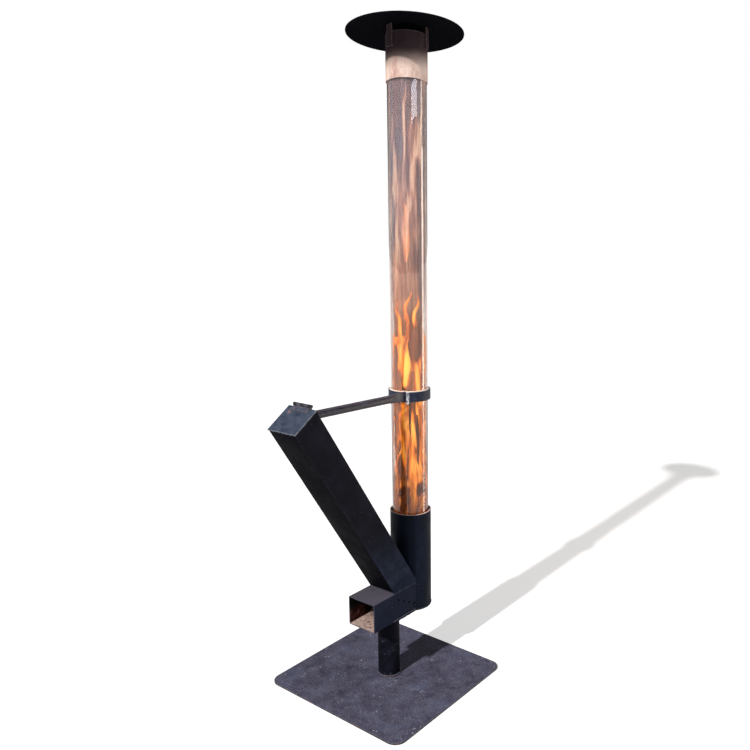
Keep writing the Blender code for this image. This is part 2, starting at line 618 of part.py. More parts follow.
def make_basket(finishes):
    """The slotted grate that slides out through the mouth, its two side plates and its pull loop."""
    burnt = finishes["burnt_steel"]
    knee = (GRATE_KNEE_Y, GRATE_BED_Z)
    front = (GRATE_FRONT_Y, grate_face_z(GRATE_FRONT_Y))
    outline = plate_along([(GRATE_REAR_Y, GRATE_BED_Z), knee, front, (GRATE_FRONT_Y, UPSTAND_TOP_Z)],
                          GRATE_THICKNESS)
    grate = profile_across("burn_grate", outline, GRATE_HALF_WIDTH, burnt)
    slope_length = hypot(knee[0] - front[0], knee[1] - front[1])
    slope_slots = int(slope_length // GRATE_SLOT_PITCH) - 1
    bed_slots = int((GRATE_REAR_Y - GRATE_KNEE_Y) // GRATE_SLOT_PITCH) - 1
    along = Vector((cos(GRATE_SLOPE), -sin(GRATE_SLOPE)))
    margin = (slope_length - (slope_slots - 1) * GRATE_SLOT_PITCH) / 2
    for step in range(slope_slots):
        spot = Vector(front) + along * (margin + step * GRATE_SLOT_PITCH)
        cut(grate, slot_cutter(spot, GRATE_SLOPE))
    margin = (GRATE_REAR_Y - GRATE_KNEE_Y - (bed_slots - 1) * GRATE_SLOT_PITCH) / 2
    for step in range(bed_slots):
        spot = Vector((GRATE_KNEE_Y + margin + step * GRATE_SLOT_PITCH, GRATE_BED_Z))
        cut(grate, slot_cutter(spot, 0.0))
    for name, side in (("grate_side_left", -1), ("grate_side_right", 1)):
        make_grate_side(name, side, burnt)
    make_pull_loop(burnt)


def slot_cutter(spot, slope):
    """One straight slot across the grate at a (y, z) place."""
    half = (GRATE_SLOT_LENGTH / 2, GRATE_SLOT_WIDTH / 2, GRATE_SLOT_CUT)
    tool = box("slot", [-size for size in half], half, cutter_finish())
    return place(tool, (0, spot[0], spot[1]), (-slope, 0, 0))


def make_grate_side(name, side, finish):
    """The upright plate under one edge of the grate, down to the burn box's floor."""
    low_z = BOX_FLOOR_Z + TOUCH_GAP
    under = GRATE_THICKNESS + TOUCH_GAP
    sloped_under = under / cos(GRATE_SLOPE)
    front_y = GRATE_FRONT_Y
    bend_y = GRATE_KNEE_Y - under * tan(GRATE_SLOPE / 2)
    outline = [(front_y, low_z), (GRATE_REAR_Y, low_z), (GRATE_REAR_Y, GRATE_BED_Z - under),
               (bend_y, GRATE_BED_Z - under), (front_y, grate_face_z(front_y) - sloped_under)]
    made = profile_across(name, outline, GRATE_SIDE_THICKNESS / 2, finish)
    place(made, (side * (GRATE_HALF_WIDTH - GRATE_SIDE_THICKNESS / 2), 0, 0))


def sweep_rod(name, path, radius, finish):
    """A round rod along a planar list of points, with mitred joints."""
    builder = bmesh.new()
    rings = []
    points = [Vector(point) for point in path]
    up = Vector((0, 0, 1))
    for index, point in enumerate(points):
        before = (point - points[index - 1]).normalized() if index else None
        after = (points[index + 1] - point).normalized() if index < len(points) - 1 else None
        ways = [way for way in (before, after) if way is not None]
        way = sum(ways, Vector()).normalized()
        side = way.cross(up).normalized()
        stretch = 1.0 / way.dot(ways[0])
        ring_points = []
        for step in range(ROD_SIDES):
            angle = 2 * pi * step / ROD_SIDES
            ring_points.append(point + side * (radius * stretch * cos(angle)) + up * (radius * sin(angle)))
        rings.append([builder.verts.new(spot) for spot in ring_points])
    for low, high in zip(rings, rings[1:]):
        bridge(builder, low, high)
    builder.faces.new(rings[0][::-1])
    builder.faces.new(rings[-1])
    to_object(name, builder, finish)


def make_pull_loop(finish):
    """A bent rod on the basket's front, for pulling it out with a hook."""
    half = PULL_LOOP_WIDTH / 2
    bend = PULL_LOOP_BEND_RADIUS
    start_y = GRATE_FRONT_Y - GRATE_THICKNESS - TOUCH_GAP
    tip_y = start_y - PULL_LOOP_REACH
    path = [(-half, start_y)] + arc((-half + bend, tip_y + bend), bend, pi, 3 * pi / 2, BEND_STEPS)
    path += arc((half - bend, tip_y + bend), bend, 3 * pi / 2, 2 * pi, BEND_STEPS) + [(half, start_y)]
    height = (grate_face_z(GRATE_FRONT_Y) + UPSTAND_TOP_Z) / 2
    sweep_rod("grate_pull_loop", [(x, y, height) for x, y in path], PULL_LOOP_ROD_RADIUS, finish)


# ---- Clamp ring ----

def make_clamp(finishes):
    """The split band round the glass, its packing, and the upright pin with its clip."""
    paint = finishes["black_paint"]
    band = ring("clamp_ring", RING_RADIUS - RING_THICKNESS, RING_RADIUS, RING_BOTTOM_Z, RING_TOP_Z,
                paint, FINE)
    place(band, (0, TUBE_Y, 0))
    # In the pin's frame +X is tangential, to the right seen from outside, and -Y is outwards.
    pin_frame = empty("clamp_pin_frame", (0, TUBE_Y, 0), (0, 0, RING_PIN_ANGLE))
    split = box("split", (-RING_SPLIT / 2, -RING_RADIUS - CUT_OVERRUN, RING_BOTTOM_Z - CUT_OVERRUN),
                (RING_SPLIT / 2, -RING_RADIUS + CUT_OVERRUN, RING_TOP_Z + CUT_OVERRUN), cutter_finish())
    cut(band, place(split, AT_FRAME, parent=pin_frame))
    height = (RING_HEIGHT - (RING_KNUCKLES - 1) * RING_KNUCKLE_GAP) / RING_KNUCKLES
    for level in range(RING_KNUCKLES):
        low = RING_BOTTOM_Z + level * (height + RING_KNUCKLE_GAP)
        side = 1 if level % 2 else -1
        reach = sorted((0.0, side * RING_TAB_LENGTH))
        tab = box("tab", (reach[0], -RING_PIN_DISTANCE + RING_TAB_SINK, low),
                  (reach[1], -RING_RADIUS + RING_TAB_ROOT, low + height), paint)
        join(band, place(tab, AT_FRAME, parent=pin_frame))
        barrel = cylinder("barrel", RING_KNUCKLE_RADIUS, low, low + height, paint, SMALL)
        join(band, place(barrel, (0, -RING_PIN_DISTANCE, 0), parent=pin_frame))
    bore = cylinder("bore", RING_PIN_RADIUS + TOUCH_GAP, RING_BOTTOM_Z - CUT_OVERRUN,
                    RING_TOP_Z + CUT_OVERRUN, cutter_finish(), SMALL)
    cut(band, place(bore, (0, -RING_PIN_DISTANCE, 0), parent=pin_frame))

    packing = ring("clamp_packing", GLASS_RADIUS + TOUCH_GAP, RING_RADIUS - RING_THICKNESS - TOUCH_GAP,
                   RING_BOTTOM_Z + PACKING_RECESS, RING_TOP_Z + PACKING_STAND_UP,
                   finishes["ceramic_fibre"], FINE)
    place(packing, (0, TUBE_Y, 0))
    make_clamp_pin(finishes["bright_zinc"], pin_frame)


def make_clamp_pin(finish, pin_frame):
    """A headed pin through the knuckles, held by a small clip under the lowest one."""
    head_low = RING_TOP_Z + TOUCH_GAP
    head_high = head_low + RING_PIN_HEAD_HEIGHT
    edge = RING_PIN_HEAD_HEIGHT / 3
    foot = RING_BOTTOM_Z - RING_PIN_TAIL
    profile = [(0, foot), (RING_PIN_RADIUS - edge, foot), (RING_PIN_RADIUS, foot + edge),
               (RING_PIN_RADIUS, head_low), (RING_PIN_HEAD_RADIUS, head_low),
               (RING_PIN_HEAD_RADIUS, head_high - edge), (RING_PIN_HEAD_RADIUS - edge, head_high),
               (0, head_high)]
    pin = lathe("clamp_pin", profile, finish, SMALL)
    place(pin, (0, -RING_PIN_DISTANCE, 0), parent=pin_frame)
    clip_top = RING_BOTTOM_Z - TOUCH_GAP
    clip = ring("clamp_pin_clip", RING_PIN_RADIUS + TOUCH_GAP, RING_KNUCKLE_RADIUS,
                clip_top - RING_CLIP_HEIGHT, clip_top, finish, SMALL)
    place(clip, (0, -RING_PIN_DISTANCE, 0), parent=pin_frame)


# ---- Support arm ----

def superellipse(half_x, half_z, power, sides):
    """Points of a rounded section: a power of 2 is an ellipse, a higher one is squarer."""
    points = []
    for step in range(sides):
        angle = 2 * pi * step / sides
        c, s = cos(angle), sin(angle)
        points.append((half_x * abs(c) ** (2 / power) * (1 if c >= 0 else -1),
                       half_z * abs(s) ** (2 / power) * (1 if s >= 0 else -1)))
    return points


def make_arm(finishes):
    """A tube from the hopper's back to the clamp ring, hammered flat and upright at its tip.

    It is made along +Y from its foot. The foot follows the hopper's leaning back, and the tip the ring.
    """
    foot = Vector((0, ARM_FOOT_Y, ARM_FOOT_Z))
    tip = Vector((RING_RADIUS * sin(ARM_TIP_ANGLE), TUBE_Y - RING_RADIUS * cos(ARM_TIP_ANGLE),
                  RING_Z + ARM_TIP_RISE))
    way = tip - foot
    length = way.length
    yaw = -atan2(way.x, way.y)
    pitch = atan2(way.z, hypot(way.x, way.y))
    frame = empty("arm_frame", foot, (pitch, 0, yaw))
    axes = frame.rotation_euler.to_matrix()
    normal = axes.inverted() @ Vector((0, cos(HOPPER_LEAN), sin(HOPPER_LEAN)))

    def foot_y(x, z):
        """Where a line along the arm meets the hopper's back."""
        return -(x * normal.x + z * normal.z) / normal.y

    flat_start = length - ARM_FLAT_LENGTH
    stations = [(0.0, 0.0)]
    for step in range(ARM_TAPER_STEPS + 1):
        share = step / ARM_TAPER_STEPS
        stations.append((flat_start - ARM_TAPER_LENGTH * (1 - share), share))
    stations.append((length + CUT_OVERRUN, 1.0))
    builder = bmesh.new()
    loops = []
    for along, share in stations:
        ease = share * share * (3 - 2 * share)
        half_x = ARM_RADIUS + (ARM_TIP_HALF_THICKNESS - ARM_RADIUS) * ease
        half_z = ARM_RADIUS + (ARM_TIP_HALF_HEIGHT - ARM_RADIUS) * ease
        section = superellipse(half_x, half_z, 2 + ARM_TIP_SQUARENESS * ease, SMALL)
        loops.append([builder.verts.new((x, along or foot_y(x, z), z)) for x, z in section])
    bore_end = flat_start - ARM_TAPER_LENGTH
    bore = superellipse(ARM_RADIUS - ARM_WALL, ARM_RADIUS - ARM_WALL, 2, SMALL)
    inner = [[builder.verts.new((x, foot_y(x, z), z)) for x, z in bore],
             [builder.verts.new((x, bore_end, z)) for x, z in bore]]
    for low, high in zip(loops, loops[1:]):
        bridge(builder, low, high)
    bridge(builder, inner[0], loops[0])
    bridge(builder, inner[1], inner[0])
    builder.faces.new(inner[1])
    builder.faces.new(loops[-1])
    made = place(to_object("support_arm", builder, finishes["black_paint"]), AT_FRAME, parent=frame)
    tool = cylinder("ring_clearance", RING_RADIUS + TOUCH_GAP, RING_Z - RING_RADIUS, RING_Z + RING_RADIUS,
                    cutter_finish(), FINE)
    cut(made, place(tool, (0, TUBE_Y, 0)))


# ---- Cap ----

def lean_drop(x, y):
    """How far a leaning plane through the tube's axis has dropped at (x, y - TUBE_Y)."""
    return tan(CAP_LEAN) * (x * cos(CAP_LEAN_TOWARDS) + y * sin(CAP_LEAN_TOWARDS))


def make_collar(finishes):
    """The sleeve over the glass's top. Both ends are cut along the lean."""
    made = ring("cap_collar", COLLAR_RADIUS - COLLAR_WALL, COLLAR_RADIUS, COLLAR_BOTTOM_Z, COLLAR_TOP_Z,
                finishes["heat_rusted_steel"], FINE)
    for vertex in made.data.vertices:
        vertex.co.z -= lean_drop(vertex.co.x, vertex.co.y)
    place(made, (0, TUBE_Y, 0))
    stop_low = GLASS_TOP_Z + TOUCH_GAP
    stop = ring("cap_stop_ring", GLASS_INNER_RADIUS, COLLAR_RADIUS - COLLAR_WALL - TOUCH_GAP, stop_low,
                stop_low + STOP_RING_THICKNESS, finishes["burnt_steel"])
    place(stop, (0, TUBE_Y, 0))


def disc_frame_matrix():
    """The disc's own frame: its origin is the middle of the rim plane, its Z the disc's axis."""
    turn = Matrix.Rotation(CAP_LEAN_TOWARDS, 4, "Z") @ Matrix.Rotation(CAP_LEAN, 4, "Y")
    upright = turn @ Matrix.Rotation(-CAP_LEAN_TOWARDS, 4, "Z")
    centre = Vector((0, TUBE_Y + DISC_OFFSET_Y, DISC_RIM_Z - lean_drop(0, DISC_OFFSET_Y)))
    return Matrix.Translation(centre) @ upright


def dome(radius):
    """Height of the disc's underside over its rim plane."""
    return DISC_DEPTH * (1 - (radius / DISC_RADIUS) ** 2)


def underside_z(x, y):
    """World height of the disc's underside over a world (x, y), nearer with each round."""
    frame = disc_frame_matrix()
    z = DISC_RIM_Z
    for _ in range(SETTLING_ROUNDS):
        local = frame.inverted() @ Vector((x, y, z))
        z += dome(hypot(local.x, local.y)) - local.z
    return z


def make_disc(finishes):
    """A shallow domed steel disc."""
    radii = [DISC_RADIUS * step / DISC_STEPS for step in range(DISC_STEPS + 1)]
    under = [(radius, dome(radius)) for radius in radii]
    over = [(radius, height + DISC_THICKNESS) for radius, height in under]
    made = lathe("cap_disc", under + over[::-1], finishes["cap_paint"], FINE)
    frame = disc_frame_matrix()
    place(made, frame.translation, frame.to_euler())


def make_struts(finishes):
    """Flat tabs up the collar's outside that hold the disc clear of its upper end."""
    for number in range(STRUT_COUNT):
        angle = STRUT_FIRST_ANGLE + 2 * pi * number / STRUT_COUNT
        outwards = Vector((cos(angle), sin(angle)))
        across = Vector((-sin(angle), cos(angle)))
        near = COLLAR_RADIUS + TOUCH_GAP
        corners = [(near, -1), (near + STRUT_THICKNESS, -1), (near + STRUT_THICKNESS, 1), (near, 1)]
        builder = bmesh.new()
        low, high = [], []
        foot = COLLAR_TOP_Z - lean_drop(*(outwards * near)) - STRUT_LAP
        for distance, side in corners:
            spot = outwards * distance + across * (side * STRUT_WIDTH / 2)
            low.append(builder.verts.new((spot.x, spot.y, foot)))
            top = underside_z(spot.x, spot.y + TUBE_Y) - TOUCH_GAP
            high.append(builder.verts.new((spot.x, spot.y, top)))
        bridge(builder, low, high)
        builder.faces.new(low)
        builder.faces.new(high)
        made = to_object(f"cap_strut_{number + 1}", builder, finishes["heat_rusted_steel"])
        place(made, (0, TUBE_Y, 0))


# ---- Assembly ----

def main():
    for existing in list(bpy.data.objects):
        bpy.data.objects.remove(existing)
    finishes = make_materials()
    hopper_frame = empty("hopper_frame", (0, HOPPER_FRONT_Y, BOX_TOP_Z), (HOPPER_LEAN, 0, 0))
    hinge_frame = empty("lid_hinge", (0, HINGE_AXIS_DEPTH, HINGE_AXIS_HEIGHT), parent=hopper_frame)
    make_base(finishes)
    make_burn_box(finishes)
    make_chamber(finishes)
    make_glass(finishes)
    make_hopper(finishes, hopper_frame)
    make_lid(finishes, hopper_frame, hinge_frame)
    make_hinge(finishes, hinge_frame)
    make_basket(finishes)
    make_clamp(finishes)
    make_arm(finishes)
    make_collar(finishes)
    make_struts(finishes)
    make_disc(finishes)
    bpy.context.view_layer.update()


main()
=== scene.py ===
"""The finished look of a wood pellet patio heater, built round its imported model.

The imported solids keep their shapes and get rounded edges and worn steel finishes. This script adds what
they don't have: weld beads, ceramic rope and packing, the haze in the glass, smoke and flames.
"""

import json
from math import asin, ceil, cos, pi, radians, sin, sqrt, tan

import bmesh
import bpy
from mathutils import Matrix, Vector, noise


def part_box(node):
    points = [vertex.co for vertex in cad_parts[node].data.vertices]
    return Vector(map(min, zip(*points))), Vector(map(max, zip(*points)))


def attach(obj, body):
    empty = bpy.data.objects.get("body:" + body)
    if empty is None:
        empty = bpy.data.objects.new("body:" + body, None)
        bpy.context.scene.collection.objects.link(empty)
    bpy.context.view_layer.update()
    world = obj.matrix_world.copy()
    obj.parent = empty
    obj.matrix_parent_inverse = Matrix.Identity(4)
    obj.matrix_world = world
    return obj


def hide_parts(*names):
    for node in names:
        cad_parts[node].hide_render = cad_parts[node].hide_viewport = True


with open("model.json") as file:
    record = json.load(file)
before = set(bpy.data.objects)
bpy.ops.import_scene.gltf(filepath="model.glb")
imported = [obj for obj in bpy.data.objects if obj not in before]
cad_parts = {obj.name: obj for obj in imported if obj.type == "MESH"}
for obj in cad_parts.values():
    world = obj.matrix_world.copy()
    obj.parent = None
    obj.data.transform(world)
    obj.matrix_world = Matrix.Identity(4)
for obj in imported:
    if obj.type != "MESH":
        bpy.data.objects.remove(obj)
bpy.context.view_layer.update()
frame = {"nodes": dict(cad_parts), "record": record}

BODY = "heater_body"
scene = bpy.context.scene

# ---- Sizes read from the frame ----

glass_low, glass_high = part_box("glass_tube")
box_low, box_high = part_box("burn_box")
chamber_low, chamber_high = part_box("combustion_chamber")
post_low, post_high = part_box("base_post")
collar_low, collar_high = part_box("cap_collar")
ring_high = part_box("clamp_ring")[1]
packing_low, packing_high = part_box("clamp_packing")
seal_low, seal_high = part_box("glass_rope_seal")
stop_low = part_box("cap_stop_ring")[0]
base_low, base_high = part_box("base_plate")
lid_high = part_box("hopper_lid")[1]

TUBE_Y = (glass_low.y + glass_high.y) / 2
GLASS_RADIUS = (glass_high.x - glass_low.x) / 2
GLASS_WALL = 0.0035
GLASS_INNER = GLASS_RADIUS - GLASS_WALL
CHAMBER_RADIUS = (chamber_high.x - chamber_low.x) / 2
COLLAR_RADIUS = (collar_high.x - collar_low.x) / 2
POST_RADIUS = (post_high.x - post_low.x) / 2
POST_Y = (post_low.y + post_high.y) / 2
BOX_HALF = box_high.x
WALL = 0.0032
HOPPER_LEAN = radians(33.2)
HOPPER_FRONT_Y = -0.0196
HOPPER_DEPTH = 0.103
ARM_RADIUS = 0.01335
AIR_HOLE_COUNT = 4
AIR_HOLE_RADIUS = 0.004
AIR_HOLE_PITCH = 0.0322
AIR_HOLE_FALL = radians(27.9)
AIR_HOLE_FIRST = Vector((0, -0.0017, box_high.z - 0.029))


# ---- Materials ----

class Look:
    """One procedural material. A method adds a node and gives back what comes out of it."""

    def __init__(self, name):
        self.material = bpy.data.materials.new(name)
        self.material.use_nodes = True
        self.tree = self.material.node_tree
        self.shader = self.tree.nodes["Principled BSDF"]
        self.place = self.node("TexCoord")["Object"]
        self.x, self.y, self.z = self.node("SeparateXYZ", {0: self.place})

    def feed(self, socket, value):
        """Give a socket a value, or the output of another node."""
        if isinstance(value, bpy.types.NodeSocket):
            self.tree.links.new(value, socket)
        elif isinstance(value, (tuple, list)) and len(value) == 3 and socket.type == "RGBA":
            socket.default_value = (*value, 1.0)
        else:
            socket.default_value = value

    def node(self, kind, inputs=None, **settings):
        """Add a node with these inputs and settings, and give back its outputs."""
        made = self.tree.nodes.new("ShaderNode" + kind)
        for key, value in settings.items():
            setattr(made, key, value)
        for key, value in (inputs or {}).items():
            self.feed(made.inputs[key], value)
        return made.outputs

    def mapped(self, scale=(1, 1, 1), turn=(0, 0, 0)):
        """The object's coordinates, turned and then stretched."""
        turned = self.node("Mapping", {"Vector": self.place, "Rotation": turn})[0]
        return self.node("Mapping", {"Vector": turned, "Scale": scale})[0]

    def noise(self, scale, detail=4.0, roughness=0.6, vector=None, distortion=0.0):
        return self.node("TexNoise", {"Vector": vector or self.place, "Scale": scale, "Detail": detail,
                                      "Roughness": roughness, "Distortion": distortion})[0]

    def cells(self, scale, vector=None):
        return self.node("TexVoronoi", {"Vector": vector or self.place, "Scale": scale})["Distance"]

    def ramp(self, factor, stops):
        """Colours, or grey values, at places from 0 to 1."""
        made = self.tree.nodes.new("ShaderNodeValToRGB")
        self.feed(made.inputs[0], factor)
        elements = made.color_ramp.elements
        while len(elements) < len(stops):
            elements.new(0.5)
        for element, (position, value) in zip(elements, stops):
            element.position = position
            element.color = (*value, 1.0) if isinstance(value, tuple) else (value, value, value, 1.0)
        return made.outputs[0]

    def mix(self, factor, first, second):
        return self.node("Mix", {0: factor, 6: first, 7: second}, data_type="RGBA")[2]

    def over(self, colour, cover, share, tone):
        """Lay a share of a tone over a colour, where there is cover."""
        return self.mix(self.both(cover, share), colour, tone)

    def maths(self, operation, first, second=0.0, clamp=False):
        return self.node("Math", {0: first, 1: second}, operation=operation, use_clamp=clamp)[0]

    def vector(self, operation, first, second=(0, 0, 0)):
        """A number worked out from two vectors."""
        return self.node("VectorMath", {0: first, 1: second}, operation=operation)["Value"]

    def span(self, value, low, high, out_low=0.0, out_high=1.0):
        """A smooth step from one value to another."""
        return self.node("MapRange", {"Value": value, "From Min": low, "From Max": high, "To Min": out_low,
                                      "To Max": out_high}, interpolation_type="SMOOTHSTEP")[0]

    def both(self, first, second):
        return self.maths("MULTIPLY", first, second)

    def lines(self, scale, stretch, turn, width):
        """Thin broken scratches: the places where a stretched noise crosses its middle."""
        wave = self.noise(scale, 1.5, 0.5, self.mapped(stretch, turn), 0.6)
        away = self.maths("ABSOLUTE", self.maths("SUBTRACT", wave, 0.5))
        line = self.span(away, width, 0.0)
        parts = self.span(self.noise(scale * 2.7, 2.0, 0.5), 0.55, 0.61)
        return self.both(line, parts)

    def dots(self, scale, size, share=0.6):
        """Small round specks in some of a pattern's cells."""
        dot = self.span(self.cells(scale), size, size * 0.5)
        parts = self.span(self.noise(scale * 0.21, 2.0, 0.5), share, share + 0.05)
        return self.both(dot, parts)

    def edges(self, radius):
        """1 on outer edges and 0 on flat faces. It marks worn paint, rust lines and painted edge highlights.
        """
        rounded = self.node("Bevel", {"Radius": radius}, samples=4)[0]
        same = self.vector("DOT_PRODUCT", rounded, self.node("NewGeometry")["Normal"])
        edge_wear_and_highlight = self.span(same, 0.985, 0.86)
        return self.both(edge_wear_and_highlight, self.span(self.noise(120, 3.0, 0.7), 0.3, 0.58))

    def facing(self, low, high):
        """A smooth step from one height of the surface's normal to another: 1 faces up and -1 down."""
        upwards = self.node("SeparateXYZ", {0: self.node("NewGeometry")["Normal"]})[2]
        return self.span(upwards, low, high)

    def near_line(self, axis, point, distance):
        """1 within a distance of a line through a point, parallel to an axis (0, 1 or 2)."""
        others = [index for index in range(3) if index != axis]
        flat = self.node("CombineXYZ", {index: (self.x, self.y, self.z)[index] for index in others})[0]
        foot = [point[index] if index in others else 0.0 for index in range(3)]
        return self.maths("LESS_THAN", self.vector("DISTANCE", flat, foot), distance)

    def pocket(self, centre, reach):
        """1 near a point and 0 outside an upright oval round it."""
        shift = [-c / r for c, r in zip(centre, reach)]
        shrink = [1 / r for r in reach]
        moved = self.node("Mapping", {"Vector": self.place, "Location": shift, "Scale": shrink})[0]
        return self.span(self.vector("LENGTH", moved), 1.0, 0.35)

    def bump(self, height, distance, strength=1.0):
        bumpy = self.node("Bump", {"Strength": strength, "Distance": distance, "Height": height})[0]
        self.feed(self.shader.inputs["Normal"], bumpy)

    def set(self, **values):
        """Set the shader's own sockets, by name with _ for a space."""
        for name, value in values.items():
            self.feed(self.shader.inputs[name.replace("_", " ")], value)
        return self.material


def painted_steel(name, tones, roughness, edge_wear_and_highlight=(0.16, 0.17, 0.22), specks=(0.3, 0.31, 0.36),
                  speck_size=0.16, scratch=(0.2, 0.22, 0.3), dust=(0.16, 0.16, 0.2), dust_share=0.25,
                  specular=0.3, edge=0.0024, patches=11, soot_and_painted_shade=0.75, dust_from=0.36, extra=None, last=None):
    """Steel under worn paint: patchy tones, specks, scratches, dust above, painted shade below, and pale
    edges that are partly bare steel and partly a painted highlight.

    extra and last are functions that paint over the colour, before and after the pale edges.
    """
    look = Look(name)
    patch = look.noise(patches, 6.0, 0.62, distortion=0.4)
    colour = look.ramp(patch, [(0.32, tones[0]), (0.5, tones[1]), (0.68, tones[2])])
    grain = look.noise(230, 3.0, 0.7)
    colour = look.mix(look.span(grain, 0.4, 0.75, 0.0, 0.45), colour, tones[2])
    # Painted shade: faces that look down are darkened almost to black.
    colour = look.over(colour, look.facing(-0.15, -0.5), soot_and_painted_shade, (0.002, 0.002, 0.003))
    drifts = look.span(look.noise(38, 5.0, 0.65), dust_from, dust_from + 0.3)
    settled = look.both(look.facing(0.55, 0.95), drifts)
    colour = look.over(colour, settled, dust_share, dust)
    marks = look.lines(9, (1, 5, 5), (0.3, 0.2, 0.6), 0.0035)
    more_marks = look.lines(13, (5, 1, 4), (0.1, 0.5, -0.4), 0.003)
    marks = look.maths("MAXIMUM", marks, more_marks)
    colour = look.over(colour, marks, 0.55, scratch)
    colour = look.over(colour, look.dots(95, speck_size), 0.8, specks)
    if extra:
        colour = extra(look, colour)
    # Pale edges: partly paint worn through, partly a painted highlight along edges that catch the light.
    colour = look.over(colour, look.edges(edge), 0.75, edge_wear_and_highlight)
    if last:
        colour = last(look, colour)
    texture = look.noise(420, 3.0, 0.6)
    height = look.maths("ADD", look.both(texture, 0.5), look.both(patch, 0.9))
    height = look.maths("SUBTRACT", height, look.both(marks, 0.5))
    look.bump(height, 0.00035, 0.55)
    rough = look.span(patch, 0.3, 0.7, roughness - 0.1, roughness + 0.12)
    look.set(Base_Color=colour, Roughness=look.maths("ADD", rough, look.both(settled, 0.15)),
             Metallic=0.0, Specular_IOR_Level=specular)
    return look.material


def scorched_inside(look, colour):
    """The inside of the burn box: ash-pale floor, reddish walls, and soot and painted shade higher up and
    towards the back.
    """
    inner = BOX_HALF - WALL + 0.0004
    across = look.maths("LESS_THAN", look.maths("ABSOLUTE", look.x), inner)
    over = look.maths("GREATER_THAN", look.z, box_low.z + WALL - 0.0006)
    under = look.maths("LESS_THAN", look.z, box_high.z - WALL + 0.0006)
    inside = look.both(look.both(across, over), under)
    blotch = look.noise(42, 5.0, 0.65, distortion=0.8)
    wall = look.ramp(blotch, [(0.4, (0.018, 0.006, 0.005)), (0.54, (0.09, 0.03, 0.024)),
                              (0.66, (0.33, 0.17, 0.14))])
    deep = look.maths("ADD", look.y, look.both(blotch, 0.04))
    # Soot and painted shade: the walls darken higher up and towards the back.
    soot_and_painted_shade = look.span(look.maths("ADD", look.z, look.both(blotch, 0.05)), box_low.z + 0.058, box_low.z + 0.088)
    soot_and_painted_shade = look.maths("MAXIMUM", soot_and_painted_shade, look.span(deep, -0.055, -0.01))
    wall = look.mix(soot_and_painted_shade, wall, (0.005, 0.004, 0.004))
    ash = look.ramp(look.noise(60, 6.0, 0.7), [(0.3, (0.13, 0.08, 0.066)), (0.45, (0.33, 0.23, 0.2)),
                                               (0.72, (0.5, 0.385, 0.35))])
    ash = look.mix(look.dots(62, 0.3, 0.47), ash, (0.09, 0.04, 0.03))
    # Painted shade: the ash darkens towards the back of the box.
    ash = look.mix(look.span(deep, -0.05, 0.03), ash, (0.02, 0.012, 0.01))
    floor = look.maths("LESS_THAN", look.z, box_low.z + WALL + 0.0008)
    return look.mix(inside, colour, look.mix(floor, wall, ash))


def slate_low_down(look, colour):
    """The hopper's paint turns from charcoal to slate blue towards its foot."""
    low_down = look.span(look.maths("ADD", look.z, look.both(look.noise(6, 3.0), 0.1)), 0.66, 0.42)
    slate = look.ramp(look.noise(26, 5.0, 0.65), [(0.35, (0.008, 0.012, 0.025)),
                                                  (0.65, (0.022, 0.03, 0.052))])
    on_side = look.maths("GREATER_THAN", look.maths("ABSOLUTE", look.x), BOX_HALF - 0.0016)
    return look.over(colour, look.both(low_down, on_side), 0.85, slate)


def rust_by_hinge(look, colour):
    """A patch of pinkish rust on the lid, beside its hinge."""
    spot = Vector((-0.036, lid_high.y - 0.022, lid_high.z - 0.016))
    away = look.vector("DISTANCE", look.place, spot)
    wavy = look.maths("ADD", away, look.both(look.noise(90, 4.0, 0.7), 0.01))
    patch = look.span(wavy, 0.014, 0.008)
    return look.over(colour, patch, 0.75, (0.2, 0.105, 0.09))


def rusty_outline(look, colour):
    """The leaf on the lid is painted with it, and a line of yellowish rust has crept round its edge."""
    line = look.both(look.edges(0.005), look.span(look.noise(70, 3.0, 0.6), 0.3, 0.5))
    return look.over(colour, line, 0.85, (0.23, 0.15, 0.095))


def pale_rim(look, colour):
    """The chamber's upper rim, pale pinkish silver: partly steel where the flame has burnt the paint off,
    partly a painted highlight.
    """
    rim = look.span(look.z, chamber_high.z - 0.0022, chamber_high.z - 0.0006)
    rim_tone = look.ramp(look.noise(90, 4.0, 0.7), [(0.35, (0.33, 0.21, 0.21)), (0.65, (0.64, 0.5, 0.5))])
    return look.over(colour, rim, 0.95, rim_tone)


def zinc_and_highlight_knuckles(look, colour):
    """The clamp's knuckles get a pale, broken zinc grey: partly the plating they share with the pin, partly a
    painted highlight.
    """
    pin_low, pin_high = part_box("clamp_pin")
    barrel = look.near_line(2, (pin_low + pin_high) / 2, 0.0049)
    knuckle_breakup = look.noise(150, 3.0, 0.6, look.mapped((1, 1, 0.6)))
    bright = look.ramp(knuckle_breakup, [(0.4, (0.03, 0.036, 0.056)), (0.48, (0.3, 0.31, 0.35)),
                                (0.6, (0.64, 0.65, 0.69))])
    return look.mix(barrel, colour, bright)


def painted_hole_shade(look, colour):
    """Painted shade: the air holes' walls and rims are painted almost black."""
    holes = 0.0
    next_hole = Vector((0, cos(AIR_HOLE_FALL), -sin(AIR_HOLE_FALL))) * AIR_HOLE_PITCH
    for step in range(AIR_HOLE_COUNT):
        hole = look.near_line(0, AIR_HOLE_FIRST + next_hole * step, AIR_HOLE_RADIUS + 0.0009)
        holes = look.maths("MAXIMUM", holes, hole)
    return look.mix(holes, colour, (0.0015, 0.0015, 0.002))


